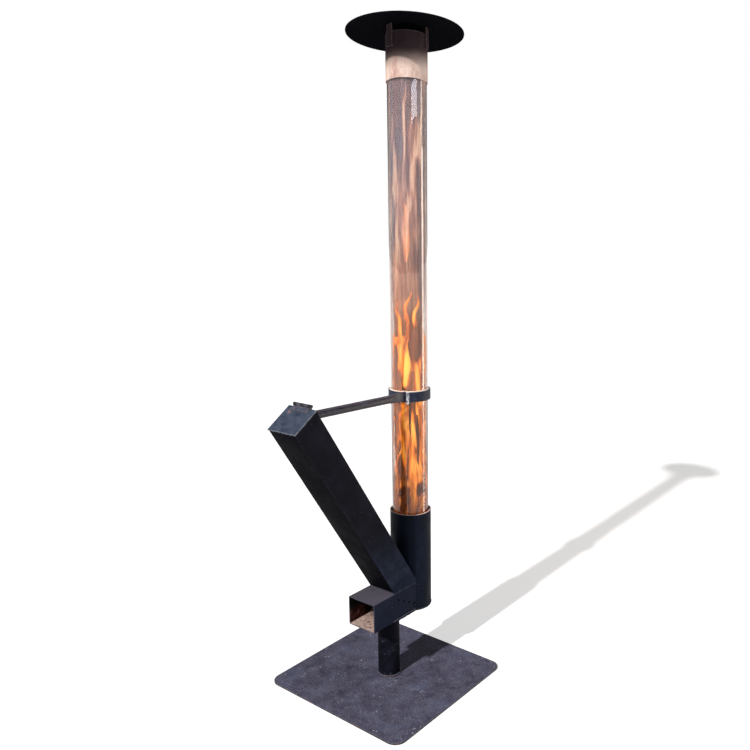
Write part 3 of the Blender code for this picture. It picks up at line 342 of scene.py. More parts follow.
def rusty_edges(look, colour):
    """The base plate's thin edge darkened almost to black, with flecks of rust, and pale grit worn into its
    top.
    """
    side = look.facing(0.95, 0.55)
    grit = look.span(look.noise(210, 4.0, 0.75), 0.56, 0.7)
    grit = look.both(grit, look.span(look.noise(24, 3.0, 0.6), 0.42, 0.6))
    colour = look.over(colour, grit, 0.8, (0.3, 0.305, 0.39))
    fleck = look.span(look.noise(330, 2.0, 0.6), 0.58, 0.68)
    colour = look.over(colour, fleck, 0.6, (0.26, 0.26, 0.34))
    bits = look.span(look.noise(65, 5.0, 0.7), 0.5, 0.64)
    colour = look.over(colour, side, 0.9, (0.014, 0.012, 0.016))
    colour = look.over(colour, look.both(side, bits), 0.6, (0.12, 0.05, 0.032))
    grime = look.both(look.span(look.noise(17, 5.0, 0.7), 0.56, 0.72), 0.55)
    return look.mix(grime, colour, (0.034, 0.032, 0.052))


def heat_rusted(name, black_from):
    """Bare steel that the flame has bleached to a pinkish tan, and darker above a height: partly
    heat-blackening, partly painted shadow from the cap's disc.
    """
    look = Look(name)
    streak = look.noise(24, 6.0, 0.66, look.mapped((1, 1, 0.35)), 0.5)
    colour = look.ramp(streak, [(0.3, (0.34, 0.215, 0.185)), (0.48, (0.5, 0.37, 0.32)),
                                (0.7, (0.6, 0.49, 0.44))])
    freckle = look.span(look.noise(150, 4.0, 0.75), 0.55, 0.7)
    colour = look.over(colour, freckle, 0.55, (0.25, 0.125, 0.1))
    pale = look.both(look.dots(120, 0.3, 0.5), 0.5)
    colour = look.mix(pale, colour, (0.62, 0.52, 0.47))
    rise = look.maths("ADD", look.z, look.both(streak, 0.03))
    # Heat-blackening and painted shadow: the steel goes almost black above this height, where the disc shades
    # it.
    heat_and_shadow_mask = look.span(rise, black_from, black_from + 0.07)
    colour = look.over(colour, heat_and_shadow_mask, 0.97, (0.011, 0.006, 0.01))
    # Pale rims: partly worn bare edges, partly a painted highlight, like the bright line along the collar's
    # lower rim.
    colour = look.over(colour, look.edges(0.0014), 0.8, (0.56, 0.4, 0.33))
    look.bump(look.maths("ADD", look.both(streak, 0.5), look.both(freckle, 0.5)), 0.0004, 0.5)
    return look.set(Base_Color=colour, Roughness=look.span(streak, 0.3, 0.7, 0.85, 0.7), Metallic=0.0,
                    Specular_IOR_Level=0.05)


def burnt(name):
    """Steel scaled by fire: brown and rust-red flakes over soot."""
    look = Look(name)
    scale = look.noise(48, 6.0, 0.7, distortion=0.7)
    colour = look.ramp(scale, [(0.34, (0.006, 0.005, 0.005)), (0.52, (0.02, 0.012, 0.01)),
                               (0.64, (0.085, 0.042, 0.03)), (0.78, (0.22, 0.13, 0.1))])
    flakes = look.cells(160)
    look.bump(look.maths("ADD", scale, look.both(flakes, 0.5)), 0.0006, 0.7)
    return look.set(Base_Color=colour, Roughness=look.span(scale, 0.3, 0.7, 0.75, 0.92), Metallic=0.0,
                    Specular_IOR_Level=0.15)


def zinc(name):
    """Bright zinc plate with a faint crystal pattern."""
    look = Look(name)
    crystal = look.cells(420, look.mapped((1, 1, 0.5)))
    colour = look.ramp(crystal, [(0.0, (0.6, 0.62, 0.66)), (1.0, (0.88, 0.89, 0.91))])
    look.bump(look.noise(900, 2.0), 0.0001, 0.3)
    return look.set(Base_Color=colour, Roughness=look.span(crystal, 0.0, 1.0, 0.2, 0.38), Metallic=1.0)


def oiled_steel(name):
    """Dark steel of the hinge, with rub marks."""
    look = Look(name)
    rub = look.noise(60, 5.0, 0.7, look.mapped((0.4, 1, 1)))
    colour = look.ramp(rub, [(0.35, (0.008, 0.008, 0.011)), (0.6, (0.022, 0.022, 0.028)),
                             (0.8, (0.085, 0.07, 0.068))])
    colour = look.over(colour, look.edges(0.0008), 0.6, (0.16, 0.16, 0.17))
    look.bump(look.noise(500, 3.0), 0.0002, 0.4)
    return look.set(Base_Color=colour, Roughness=look.span(rub, 0.3, 0.7, 0.58, 0.4), Metallic=0.35,
                    Specular_IOR_Level=0.35)


def fibre(name):
    """Woven ceramic fibre, cream, browned where the flame's heat reaches it."""
    look = Look(name)
    strand = look.noise(520, 3.0, 0.6, look.mapped((1, 1, 2.5)))
    brown = look.noise(34, 4.0, 0.7)
    colour = look.ramp(brown, [(0.3, (0.42, 0.27, 0.2)), (0.5, (0.74, 0.61, 0.52)),
                               (0.7, (0.86, 0.78, 0.7))])
    colour = look.mix(look.span(strand, 0.55, 0.75, 0.0, 0.5), colour, (0.3, 0.22, 0.18))
    look.bump(strand, 0.0008, 0.8)
    return look.set(Base_Color=colour, Roughness=look.span(strand, 0.3, 0.7, 0.85, 0.98), Sheen_Weight=0.2,
                    Specular_IOR_Level=0.1)


def clear_glass(name):
    """Borosilicate glass. Lamps shine through it, and it has faint vertical draw lines."""
    look = Look(name)
    drawn = look.noise(70, 3.0, 0.5, look.mapped((1, 1, 0.03)))
    look.bump(drawn, 0.00015, 0.15)
    film = look.noise(18, 4.0, 0.6, look.mapped((1, 1, 0.25)))
    grazing = look.node("LayerWeight", {"Blend": 0.5})["Facing"]
    thick = look.span(grazing, 0.38, 0.76)
    colour = look.ramp(film, [(0.3, (0.95, 0.9, 0.87)), (0.7, (1.0, 0.98, 0.96))])
    colour = look.over(colour, thick, 0.8, (0.42, 0.22, 0.14))
    look.set(Base_Color=colour, Roughness=look.span(film, 0.3, 0.7, 0.0, 0.01), Transmission_Weight=1.0,
             IOR=1.47)
    clear = look.node("BsdfTransparent", {0: (0.95, 0.9, 0.87)})[0]
    shadow = look.node("LightPath")["Is Shadow Ray"]
    through = look.node("MixShader", {0: shadow, 1: look.shader.outputs[0], 2: clear})[0]
    look.feed(look.tree.nodes["Material Output"].inputs["Surface"], through)
    return look.material


FLAME_FOOT_Z = chamber_high.z - 0.09
FLAME_FULL_Z = 1.25  # up to here the flame fills the tube
FLAME_TOP_Z = 1.74


# Dark smoke between the flames: azimuth, height, reach across and up.
DARK_POCKETS = [(26, 1.165, 0.034, 0.08), (-78, 0.86, 0.026, 0.3), (74, 0.82, 0.02, 0.19),
                (42, 0.66, 0.026, 0.04), (-34, 0.65, 0.02, 0.03), (-60, 1.12, 0.03, 0.06),
                (150, 0.95, 0.03, 0.12), (220, 1.1, 0.034, 0.09)]


def beside_tube(azimuth):
    """The level direction at an azimuth in degrees, from the side that faces between the mouth and +X."""
    turn = radians(azimuth - 50)
    return Vector((cos(turn), sin(turn), 0.0))


def painted_shade_side(look):
    """Painted shade mask: 1 on the side of the tube that is over the hopper and away from +X, and 0 opposite.
    """
    across = look.vector("DOT_PRODUCT", look.place, (0.78, 0.63, 0.0))
    return look.span(look.maths("SUBTRACT", across, 0.63 * TUBE_Y), 0.035, -0.035)


def heat_haze(name):
    """The thin smoky film that heat leaves inside the glass, in vertical streaks that are partly that film
    and partly painted reflections, with painted shade on one side.
    """
    look = Look(name)
    # Painted reflection: the vertical streaks stand in partly for streaky reflections in the glass.
    streak = look.noise(62, 3.0, 0.55, look.mapped((1, 1, 0.075)), 0.7)
    broad = look.noise(34, 2.0, 0.5, look.mapped((1, 1, 0.11)), 0.5)
    cool = look.ramp(streak, [(0.38, (0.105, 0.085, 0.11)), (0.47, (0.24, 0.155, 0.155)),
                              (0.53, (0.47, 0.24, 0.19)), (0.6, (0.8, 0.61, 0.47))])
    # Painted reflection: broad blue-grey patches, as of the sky seen in the glass.
    cool = look.mix(look.span(broad, 0.5, 0.58, 0.0, 0.8), cool, (0.09, 0.115, 0.18))
    # Painted shade: one side of the film, over the hopper and away from +X, is darkened.
    cool = look.mix(look.both(painted_shade_side(look), 0.5), cool, (0.07, 0.062, 0.082))
    warm = look.ramp(streak, [(0.4, (0.08, 0.018, 0.006)), (0.5, (0.22, 0.07, 0.026)),
                              (0.6, (0.4, 0.18, 0.08))])
    upper = look.span(look.z, FLAME_FULL_Z - 0.15, FLAME_TOP_Z - 0.1)
    colour = look.mix(upper, warm, cool)
    alpha = look.maths("ADD", look.span(upper, 0.0, 1.0, 0.1, 0.42),
                       look.span(streak, 0.38, 0.62, 0.08, -0.04), clamp=True)
    look.bump(streak, 0.0002, 0.2)
    return look.set(Base_Color=colour, Roughness=look.span(streak, 0.3, 0.7, 0.35, 0.55), Alpha=alpha,
                    Specular_IOR_Level=0.2)


def smoke(name):
    """Hot gas in the tube: dark brown behind the flames, and thin mauve-grey above them."""
    look = Look(name)
    curl = look.noise(48, 3.0, 0.55, look.mapped((1, 1, 0.09)), 0.9)
    cool = look.ramp(curl, [(0.38, (0.095, 0.092, 0.125)), (0.47, (0.21, 0.155, 0.17)),
                            (0.54, (0.37, 0.25, 0.23)), (0.62, (0.54, 0.42, 0.37))])
    # Painted shade: one side of the smoke, over the hopper and away from +X, is darkened.
    cool = look.mix(look.both(painted_shade_side(look), 0.5), cool, (0.08, 0.078, 0.102))
    warm = look.ramp(curl, [(0.38, (0.016, 0.004, 0.001)), (0.5, (0.085, 0.022, 0.008)),
                            (0.6, (0.23, 0.08, 0.036))])
    tan = look.ramp(curl, [(0.38, (0.07, 0.046, 0.042)), (0.6, (0.34, 0.185, 0.11))])
    colour = look.mix(look.span(look.z, FLAME_FULL_Z - 0.03, FLAME_FULL_Z + 0.06), warm, tan)
    colour = look.mix(look.span(look.z, FLAME_FULL_Z + 0.2, FLAME_TOP_Z - 0.1), colour, cool)
    alpha = look.span(look.z, FLAME_FULL_Z, FLAME_TOP_Z, 0.9, 0.6)
    alpha = look.maths("ADD", alpha, look.span(curl, 0.38, 0.62, 0.1, -0.16), clamp=True)
    return look.set(Base_Color=colour, Roughness=look.span(curl, 0.3, 0.7, 0.8, 1.0), Alpha=alpha,
                    Specular_IOR_Level=0.0)


def flame(name, scale, gap, brightness):
    """Burning gas: yellow-orange sheets with gaps between them, paler and rosier as it rises."""
    look = Look(name)
    curl = look.noise(scale, 2.0, 0.5, look.mapped((1, 1, 0.22)), 1.8)
    fine = look.noise(scale * 2.6, 2.0, 0.5, look.mapped((1, 1, 0.14)), 0.8)
    glow = look.maths("ADD", look.both(curl, 0.78), look.both(fine, 0.22))
    rising = look.span(look.z, FLAME_FULL_Z - 0.45, FLAME_FULL_Z + 0.1)
    glow = look.maths("SUBTRACT", glow, look.both(rising, 0.03))
    for azimuth, height, across, tall in DARK_POCKETS:
        centre = Vector((0, TUBE_Y, height)) + beside_tube(azimuth) * 0.05
        glow = look.maths("SUBTRACT", glow, look.both(look.pocket(centre, (across, across, tall)), 0.22))
    colour = look.ramp(glow, [(gap - 0.06, (0.04, 0.006, 0.001)), (gap, (0.15, 0.026, 0.002)),
                              (gap + 0.05, (0.4, 0.092, 0.006)), (gap + 0.11, (0.7, 0.19, 0.014)),
                              (gap + 0.2, (0.95, 0.4, 0.055))])
    rosy = look.span(look.z, FLAME_FULL_Z + 0.05, FLAME_TOP_Z - 0.1, 0.0, 0.75)
    colour = look.mix(rosy, colour, (0.9, 0.4, 0.19))
    rooted = look.span(look.z, chamber_high.z + 0.1, chamber_high.z - 0.01, 0.0, 0.8)
    colour = look.mix(rooted, colour, (0.12, 0.026, 0.008))
    alpha = look.span(glow, gap - 0.07, gap + 0.04)
    look.set(Base_Color=look.mix(0.5, colour, (0.01, 0.002, 0.0)), Emission_Color=colour,
             Emission_Strength=brightness, Alpha=alpha, Specular_IOR_Level=0.0)
    return look.set(Roughness=look.span(glow, 0.3, 0.7, 0.8, 0.95))


finishes = {
    "base": painted_steel(
        "base_paint_worn", [(0.018, 0.017, 0.034), (0.042, 0.039, 0.068), (0.06, 0.068, 0.12)], 0.58,
        specks=(0.42, 0.44, 0.5), speck_size=0.26, scratch=(0.26, 0.29, 0.38),
        dust=(0.074, 0.071, 0.104), dust_share=0.55, extra=rusty_edges),
    "hopper": painted_steel(
        "hopper_paint", [(0.005, 0.005, 0.008), (0.008, 0.008, 0.012), (0.013, 0.013, 0.019)], 0.62,
        specular=0.012, edge=0.005, edge_wear_and_highlight=(0.06, 0.064, 0.09), soot_and_painted_shade=0.9, specks=(0.08, 0.08, 0.105),
        scratch=(0.036, 0.038, 0.052), extra=slate_low_down),
    "box": painted_steel(
        "burn_box_paint", [(0.005, 0.007, 0.016), (0.008, 0.011, 0.023), (0.014, 0.018, 0.034)], 0.6,
        dust=(0.07, 0.064, 0.084), dust_share=1.0, dust_from=0.12, specular=0.03, edge=0.004,
        edge_wear_and_highlight=(0.1, 0.1, 0.13), specks=(0.09, 0.095, 0.14), scratch=(0.045, 0.05, 0.07),
        extra=scorched_inside, last=painted_hole_shade),
    "chamber": painted_steel(
        "chamber_paint", [(0.0025, 0.0035, 0.008), (0.004, 0.006, 0.013), (0.007, 0.01, 0.021)], 0.5,
        specular=0.04, edge_wear_and_highlight=(0.05, 0.045, 0.07), specks=(0.08, 0.085, 0.13),
        scratch=(0.03, 0.034, 0.05), last=pale_rim),
    "post": painted_steel(
        "post_paint", [(0.002, 0.002, 0.004), (0.004, 0.004, 0.008), (0.01, 0.012, 0.02)], 0.55,
        specular=0.03, specks=(0.11, 0.115, 0.16), soot_and_painted_shade=0.3),
    "arm": painted_steel(
        "arm_paint", [(0.006, 0.005, 0.01), (0.013, 0.011, 0.019), (0.036, 0.033, 0.05)], 0.4,
        specular=0.3, patches=40, soot_and_painted_shade=0.95, dust=(0.09, 0.08, 0.11), dust_share=0.6,
        dust_from=0.12, specks=(0.11, 0.105, 0.14)),
    "ring": painted_steel(
        "clamp_paint", [(0.006, 0.008, 0.018), (0.012, 0.017, 0.034), (0.024, 0.031, 0.054)], 0.52,
        specular=0.15, last=zinc_and_highlight_knuckles),
    "lid": painted_steel(
        "lid_paint_worn", [(0.011, 0.018, 0.037), (0.022, 0.031, 0.057), (0.05, 0.064, 0.1)], 0.5,
        edge_wear_and_highlight=(0.3, 0.33, 0.36), scratch=(0.14, 0.165, 0.21), dust=(0.05, 0.062, 0.092),
        dust_share=0.7, specular=0.25, edge=0.004, patches=26, specks=(0.23, 0.25, 0.29),
        speck_size=0.22, extra=rust_by_hinge),
    "leaf": painted_steel(
        "leaf_paint_worn", [(0.014, 0.02, 0.04), (0.026, 0.034, 0.06), (0.05, 0.064, 0.1)], 0.5,
        specular=0.25, patches=40, edge_wear_and_highlight=(0.06, 0.06, 0.07), extra=rusty_outline),
    "cap": painted_steel(
        "cap_paint_matt", [(0.0012, 0.0012, 0.0022), (0.0022, 0.002, 0.0034), (0.005, 0.0045, 0.007)],
        0.8, edge_wear_and_highlight=(0.02, 0.018, 0.022), specular=0.002, dust=(0.03, 0.03, 0.034), soot_and_painted_shade=0.7,
        specks=(0.04, 0.04, 0.05), scratch=(0.02, 0.02, 0.026)),
    "heat_rusted": heat_rusted("heat_rusted_steel", collar_high.z - 0.105),
    # Painted shadow: this black is partly heat-blackening and partly the shade under the cap's disc.
    "heat_and_painted_shadow_black": heat_rusted("heat_and_painted_shadow_black_steel", collar_high.z - 0.3),
    "burnt": burnt("burnt_steel"),
    "zinc": zinc("bright_zinc"),
    "dark": oiled_steel("dark_steel"),
    "fibre": fibre("ceramic_fibre"),
    "glass": clear_glass("flame_glass"),
    "haze": heat_haze("heat_haze"),
    "smoke": smoke("smoke"),
    "fire": flame("flame_body", 20, 0.43, 0.86),
    "tongue": flame("flame_tongues", 26, 0.36, 0.92),
}


# ---- Making pieces ----

MERGE_DISTANCE = 2e-6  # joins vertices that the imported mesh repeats
FLAT_ANGLE = radians(0.3)  # facets of one plane differ by less
SHARP_ANGLE = radians(40)
BEAD_SIDES = 10
END_STEPS = 6


def to_piece(name, builder, finish, body=BODY, slot=None, replaced=(), smooth=SHARP_ANGLE):
    """Turn a bmesh into a finished piece that rides on a body."""
    bmesh.ops.recalc_face_normals(builder, faces=builder.faces)
    mesh = bpy.data.meshes.new(name)
    builder.to_mesh(mesh)
    builder.free()
    mesh.materials.append(finishes[finish])
    mesh.shade_smooth()
    mesh.set_sharp_from_angle(angle=smooth)
    made = bpy.data.objects.new(name, mesh)
    scene.collection.objects.link(made)
    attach(made, body)
    if replaced:
        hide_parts(*replaced)
    return made


def refined(node, finish, edge=0.0006, rounded=None, radius=0.0028):
    """Stands for a CAD node: the same solid with whole flat faces and rounded edges."""
    source = frame["nodes"][node]
    builder = bmesh.new()
    builder.from_mesh(source.data)
    bmesh.ops.remove_doubles(builder, verts=builder.verts, dist=MERGE_DISTANCE)
    bmesh.ops.dissolve_limit(builder, angle_limit=FLAT_ANGLE, verts=builder.verts, edges=builder.edges)
    if rounded:
        chosen = [line for line in builder.edges if rounded(line)]
        bmesh.ops.bevel(builder, geom=chosen, offset=radius, segments=4, profile=0.5, affect="EDGES",
                        clamp_overlap=True)
    slot = next(row["material_slot"] for row in frame["record"]["subparts"] if row["node"] == node)
    body = next(name for name, members in frame["record"]["behaviour"]["bodies"].items() if node in members)
    made = to_piece(f"{node}_finished", builder, finish, body, slot, (node,))
    if edge:
        softened = made.modifiers.new("Edges", "BEVEL")
        softened.width = edge
        softened.segments = 2
        softened.limit_method = "ANGLE"
        softened.angle_limit = SHARP_ANGLE
        softened.harden_normals = True
    return made


def skin(builder, rings, closed):
    """Lay faces over rings of points that all have the same count. Unless it's closed, cap both ends."""
    loops = [[builder.verts.new(point) for point in ring] for ring in rings]
    pairs = list(zip(loops, loops[1:]))
    if closed:
        pairs.append((loops[-1], loops[0]))
    count = len(loops[0])
    for low, high in pairs:
        for index in range(count):
            after = (index + 1) % count
            builder.faces.new((low[index], low[after], high[after], high[index]))
    if not closed:
        builder.faces.new(loops[0][::-1])
        builder.faces.new(loops[-1])


def loft(rings, closed=False):
    """A bmesh with a skin over rings of points."""
    builder = bmesh.new()
    skin(builder, rings, closed)
    return builder


def circle(radius, centre, count, start=0.0, end=2 * pi):
    """Points round a level circle, without the last one."""
    angles = [start + (end - start) * step / count for step in range(count)]
    return [Vector((centre[0] + radius * cos(a), centre[1] + radius * sin(a), centre[2])) for a in angles]


def turned(name, profile, finish, sides=128, shape=None, **where):
    """Turn a closed (radius, height) outline round the tube's axis. shape may move each point."""
    rings = []
    for step in range(sides):
        angle = 2 * pi * step / sides
        ring = []
        for radius, height in profile:
            if shape:
                radius, height = shape(radius, height, angle)
            ring.append(Vector((radius * cos(angle), TUBE_Y + radius * sin(angle), height)))
        rings.append(ring)
    return to_piece(name, loft(rings, closed=True), finish, **where)


def round_end(inner, outer, height, way):
    """Half a circle over the end of a tube's wall, from its outer to its inner face, for way 1."""
    middle, radius = (inner + outer) / 2, (outer - inner) / 2
    angles = [pi * step / END_STEPS for step in range(END_STEPS + 1)]
    return [(middle + way * radius * cos(a), height + way * radius * sin(a)) for a in angles]


def evenly(path, step, closed):
    """Points at even distances along a path."""
    path = [Vector(point) for point in path]
    if closed:
        path.append(path[0])
    lengths = [(b - a).length for a, b in zip(path, path[1:])]
    total = sum(lengths)
    count = max(4, ceil(total / step))
    points, piece, passed = [], 0, 0.0
    for index in range(count if closed else count + 1):
        target = total * index / count
        while piece < len(lengths) - 1 and passed + lengths[piece] < target:
            passed += lengths[piece]
            piece += 1
        share = (target - passed) / max(lengths[piece], 1e-9)
        points.append(path[piece].lerp(path[piece + 1], min(max(share, 0.0), 1.0)))
    return points, total / count


def weld_bead(name, path, radius, finish, closed=False, body=BODY, slot="black_paint"):
    """A bead of weld metal along a path, with a ripple for each pass of the electrode."""
    points, step = evenly(path, radius * 0.42, closed)
    ripple = radius * 1.7
    count = len(points)
    rings, side = [], None
    for index, point in enumerate(points):
        before = points[index - 1] if closed or index else point
        after = points[(index + 1) % count] if closed or index < count - 1 else point
        way = (after - before).normalized()
        side = way.orthogonal().normalized() if side is None else (side - way * side.dot(way)).normalized()
        across = way.cross(side)
        phase = (index * step / ripple) % 1.0
        swell = radius * (0.8 + 0.22 * (1.0 - phase) ** 0.7 + 0.22 * noise.noise(point * 130.0))
        if not closed:
            ending = min(index, count - 1 - index) * step
            swell *= sqrt(min(1.0, (ending + 0.15 * radius) / radius))
        angles = [2 * pi * k / BEAD_SIDES for k in range(BEAD_SIDES)]
        rings.append([point + (side * cos(a) + across * sin(a)) * swell for a in angles])
    return to_piece(name, loft(rings, closed=closed), finish, body, slot)


def rope_ring(name, radius, height, rod, finish, strands=3, twists=46, sides=8, steps=720, **where):
    """A twisted rope laid in a circle round the tube's axis."""
    builder = bmesh.new()
    strand_radius = rod * 0.56
    for strand in range(strands):
        rings = []
        for step in range(steps):
            around = 2 * pi * step / steps
            turn = twists * around + 2 * pi * strand / strands
            out = Vector((cos(around), sin(around), 0.0))
            centre = out * (radius + 0.5 * rod * cos(turn))
            centre += Vector((0, TUBE_Y, height + 0.5 * rod * sin(turn)))
            angles = [2 * pi * k / sides for k in range(sides)]
            up = Vector((0, 0, 1))
            rings.append([centre + (out * cos(a) + up * sin(a)) * strand_radius for a in angles])
        skin(builder, rings, True)
    return to_piece(name, builder, finish, **where)


# ---- Base and post ----

def along_tube_edge(axis, limit):
    """Chooses the long edges that run along an axis."""
    def chosen(line):
        way = line.verts[1].co - line.verts[0].co
        return way.length > limit and abs(way.normalized().dot(axis)) > 0.999
    return chosen


def make_base():
    refined("base_plate", "base", edge=0.0011)
    refined("base_post", "post", edge=0)
    foot = circle(POST_RADIUS + 0.0016, (0, POST_Y, base_high.z + 0.0012), 96)
    weld_bead("weld_post_foot", foot, 0.0046, "base", closed=True, slot="base_paint")
    head = circle(POST_RADIUS + 0.0008, (0, POST_Y, box_low.z - 0.001), 96)
    weld_bead("weld_post_head", head, 0.0052, "post", closed=True)


# ---- Burn box, hopper and chamber ----

HOPPER_WAY = Vector((0, -sin(HOPPER_LEAN), cos(HOPPER_LEAN)))
HOPPER_BACKWARDS = Vector((0, cos(HOPPER_LEAN), sin(HOPPER_LEAN)))
HOPPER_FOOT = Vector((0, HOPPER_FRONT_Y, box_high.z))


def outer_edge(axis, limit, half):
    """Chooses the long outer corner edges of a square tube."""
    runs_along = along_tube_edge(axis, limit)

    def chosen(line):
        corner = min(abs(vertex.co.x) for vertex in line.verts)
        return runs_along(line) and corner > half - 0.0002
    return chosen


def seam_on_chamber(x):
    """Where the chamber's wall is at a given x, on its front side."""
    return TUBE_Y - sqrt(CHAMBER_RADIUS ** 2 - x ** 2)


def hopper_back_z(y):
    """Height of the hopper's back face over a given y."""
    back = HOPPER_FOOT + HOPPER_BACKWARDS * HOPPER_DEPTH
    return back.z - (y - back.y) / tan(HOPPER_LEAN)


def make_firebox():
    refined("burn_box", "box", edge=0.0005, rounded=outer_edge(Vector((0, 1, 0)), 0.05, BOX_HALF),
            radius=0.0022)
    refined("hopper_tube", "hopper", edge=0.0005, rounded=outer_edge(HOPPER_WAY, 0.2, BOX_HALF),
            radius=0.0022)
    refined("combustion_chamber", "chamber", edge=0.0008)
    refined("chamber_floor", "chamber", edge=0.0012)
    corner = BOX_HALF - 0.0004
    corner_y = seam_on_chamber(corner)
    top_z = hopper_back_z(corner_y)
    for name, side in (("left", -1), ("right", 1)):
        upright = [(side * corner, corner_y, box_low.z + 0.001), (side * corner, corner_y, top_z)]
        weld_bead(f"weld_chamber_{name}", upright, 0.0022, "chamber")
        seam = [(side * (BOX_HALF - 0.0013), HOPPER_FRONT_Y + 0.001, box_high.z - 0.0006),
                (side * (BOX_HALF - 0.0013), corner_y, box_high.z - 0.0006)]
        weld_bead(f"weld_hopper_{name}", seam, 0.001, "box")
        foot = [(side * (BOX_HALF - 0.0006), POST_Y - POST_RADIUS, box_low.z + 0.0004),
                (side * (BOX_HALF - 0.0006), corner_y, box_low.z + 0.0004)]
        weld_bead(f"weld_box_{name}", foot, 0.005, "box")
    saddle = []
    for step in range(25):
        x = -corner + 2 * corner * step / 24
        y = seam_on_chamber(x)
        saddle.append((x, y - 0.0006, hopper_back_z(y) + 0.0006))
    weld_bead("weld_hopper_back", saddle, 0.0026, "chamber")
    front = [(-BOX_HALF + 0.003, HOPPER_FRONT_Y - 0.0005, box_high.z + 0.0008),
             (BOX_HALF - 0.003, HOPPER_FRONT_Y - 0.0005, box_high.z + 0.0008)]
    weld_bead("weld_hopper_front", front, 0.0021, "box")
    spread = asin(corner / CHAMBER_RADIUS)
    under = circle(CHAMBER_RADIUS - 0.0006, (0, TUBE_Y, box_low.z - 0.0004), 60,
                   -pi / 2 - spread, -pi / 2 + spread)
    weld_bead("weld_box_underside", under, 0.0034, "chamber")
    rim = circle(CHAMBER_RADIUS - 0.0004, (0, TUBE_Y, box_low.z - 0.0005), 120,
                 -pi / 2 + spread, 1.5 * pi - spread)
    weld_bead("weld_chamber_floor", rim, 0.0019, "chamber")


# ---- Lid and hinge ----

def make_lid():
    refined("hopper_lid", "lid", edge=0.0007)
    refined("hinge_fixed_leaf", "dark", edge=0.0003)
    refined("hinge_moving_leaf", "leaf", edge=0.0003)
    refined("hinge_pin", "dark", edge=0.0004)
    for number in (1, 2):
        refined(f"lid_rivet_{number}", "leaf", edge=0)
        refined(f"hopper_rivet_{number}", "dark", edge=0)


# ---- Basket ----

def make_basket():
    for node in ("burn_grate", "grate_side_left", "grate_side_right", "grate_pull_loop"):
        refined(node, "burnt", edge=0.0004)


# ---- Clamp and arm ----

def make_clamp():
    refined("clamp_ring", "ring", edge=0.0005)
    refined("clamp_pin", "zinc", edge=0.0003)
    refined("clamp_pin_clip", "zinc", edge=0.0003)
    refined("support_arm", "arm", edge=0.0005)
    inner = GLASS_RADIUS + 0.0003
    outer = (packing_high.x - packing_low.x) / 2

    def ragged(radius, height, angle):
        """Ribs round the packing, and an uneven cut along its top."""
        around = Vector((cos(angle), sin(angle), 0.0))
        if height > packing_high.z - 0.004:
            height += 0.0012 * noise.noise(around * 9.0 + Vector((0, 0, 4.0))) - 0.0009
        return radius + 0.00022 * cos(angle * 150), height

    profile = [(inner + 0.0004, packing_low.z), (outer - 0.0004, packing_low.z),
               (outer - 0.0003, ring_high.z - 0.001), (outer - 0.0002, ring_high.z + 0.0012),
               (outer - 0.001, packing_high.z - 0.0008), (outer - 0.0024, packing_high.z),
               (inner + 0.0014, packing_high.z), (inner + 0.0006, packing_high.z - 0.001),
               (inner + 0.0004, ring_high.z)]
    turned("clamp_packing_band", profile, "fibre", sides=600, shape=ragged, slot="ceramic_fibre",
           replaced=("clamp_packing",))
    foot = HOPPER_FOOT + HOPPER_BACKWARDS * (HOPPER_DEPTH + 0.0012)
    arm_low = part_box("support_arm")[0]
    # The arm meets the leaning back in an oval that is longer up the slope.
    half_oval = ARM_RADIUS / cos(HOPPER_LEAN)
    seat = (arm_low.y - foot.y) / HOPPER_WAY.y
    middle = foot + HOPPER_WAY * (seat - half_oval)
    oval = []
    for step in range(48):
        angle = 2 * pi * step / 48
        oval.append(middle + Vector((ARM_RADIUS + 0.001, 0, 0)) * cos(angle)
                    + HOPPER_WAY * ((half_oval + 0.001) * sin(angle)))
    weld_bead("weld_arm_foot", oval, 0.0027, "hopper", closed=True)


# ---- Glass, haze and ropes ----

def make_glass():
    profile = round_end(GLASS_INNER, GLASS_RADIUS, glass_high.z - GLASS_WALL / 2, 1)
    profile += round_end(GLASS_INNER, GLASS_RADIUS, glass_low.z + GLASS_WALL / 2, -1)
    turned("flame_tube_glass", profile, "glass", slot="flame_glass", replaced=("glass_tube",))
    outer = GLASS_INNER - 0.0006
    inner = outer - 0.0005
    low, high = glass_low.z + 0.004, glass_high.z - 0.002
    levels = 24
    heights = [low + (high - low) * step / levels for step in range(levels + 1)]
    film = [(outer, z) for z in heights] + [(inner, z) for z in reversed(heights)]
    turned("glass_heat_haze", film, "haze", slot="flame_glass")
    rod = (seal_high.x - seal_low.x) / 4 - GLASS_RADIUS / 2
    rope_ring("glass_rope", (GLASS_RADIUS + (seal_high.x - seal_low.x) / 2) / 2,
              seal_high.z - rod * 0.9, rod * 0.92, "fibre", slot="ceramic_fibre",
              replaced=("glass_rope_seal",))
    refined("glass_seat_gasket", "fibre", edge=0.0004)
    refined("glass_seat_ring", "burnt", edge=0.0005)


# ---- Flames ----

SMOKE_RADIUS = 0.0555
FIRE_RADIUS = 0.0535
COLUMN_SIDES = 72
COLUMN_LEVELS = 110
TONGUE_SIDES = 16
TONGUE_LEVELS = 40
TONGUE_THICKNESS = 0.0045  # from its middle
LOW_TONGUES = 14
GOLDEN_ANGLE = 137.5  # degrees from one low tongue to the next
# Each placed tongue: azimuth in degrees, foot height, length and half width.
PLACED_TONGUES = [(-8, 1.435, 0.235, 0.017), (-34, 1.165, 0.15, 0.011), (-4, 1.175, 0.17, 0.0125),
                  (24, 1.195, 0.14, 0.0095), (-40, 1.08, 0.16, 0.015), (-14, 1.02, 0.18, 0.016)]


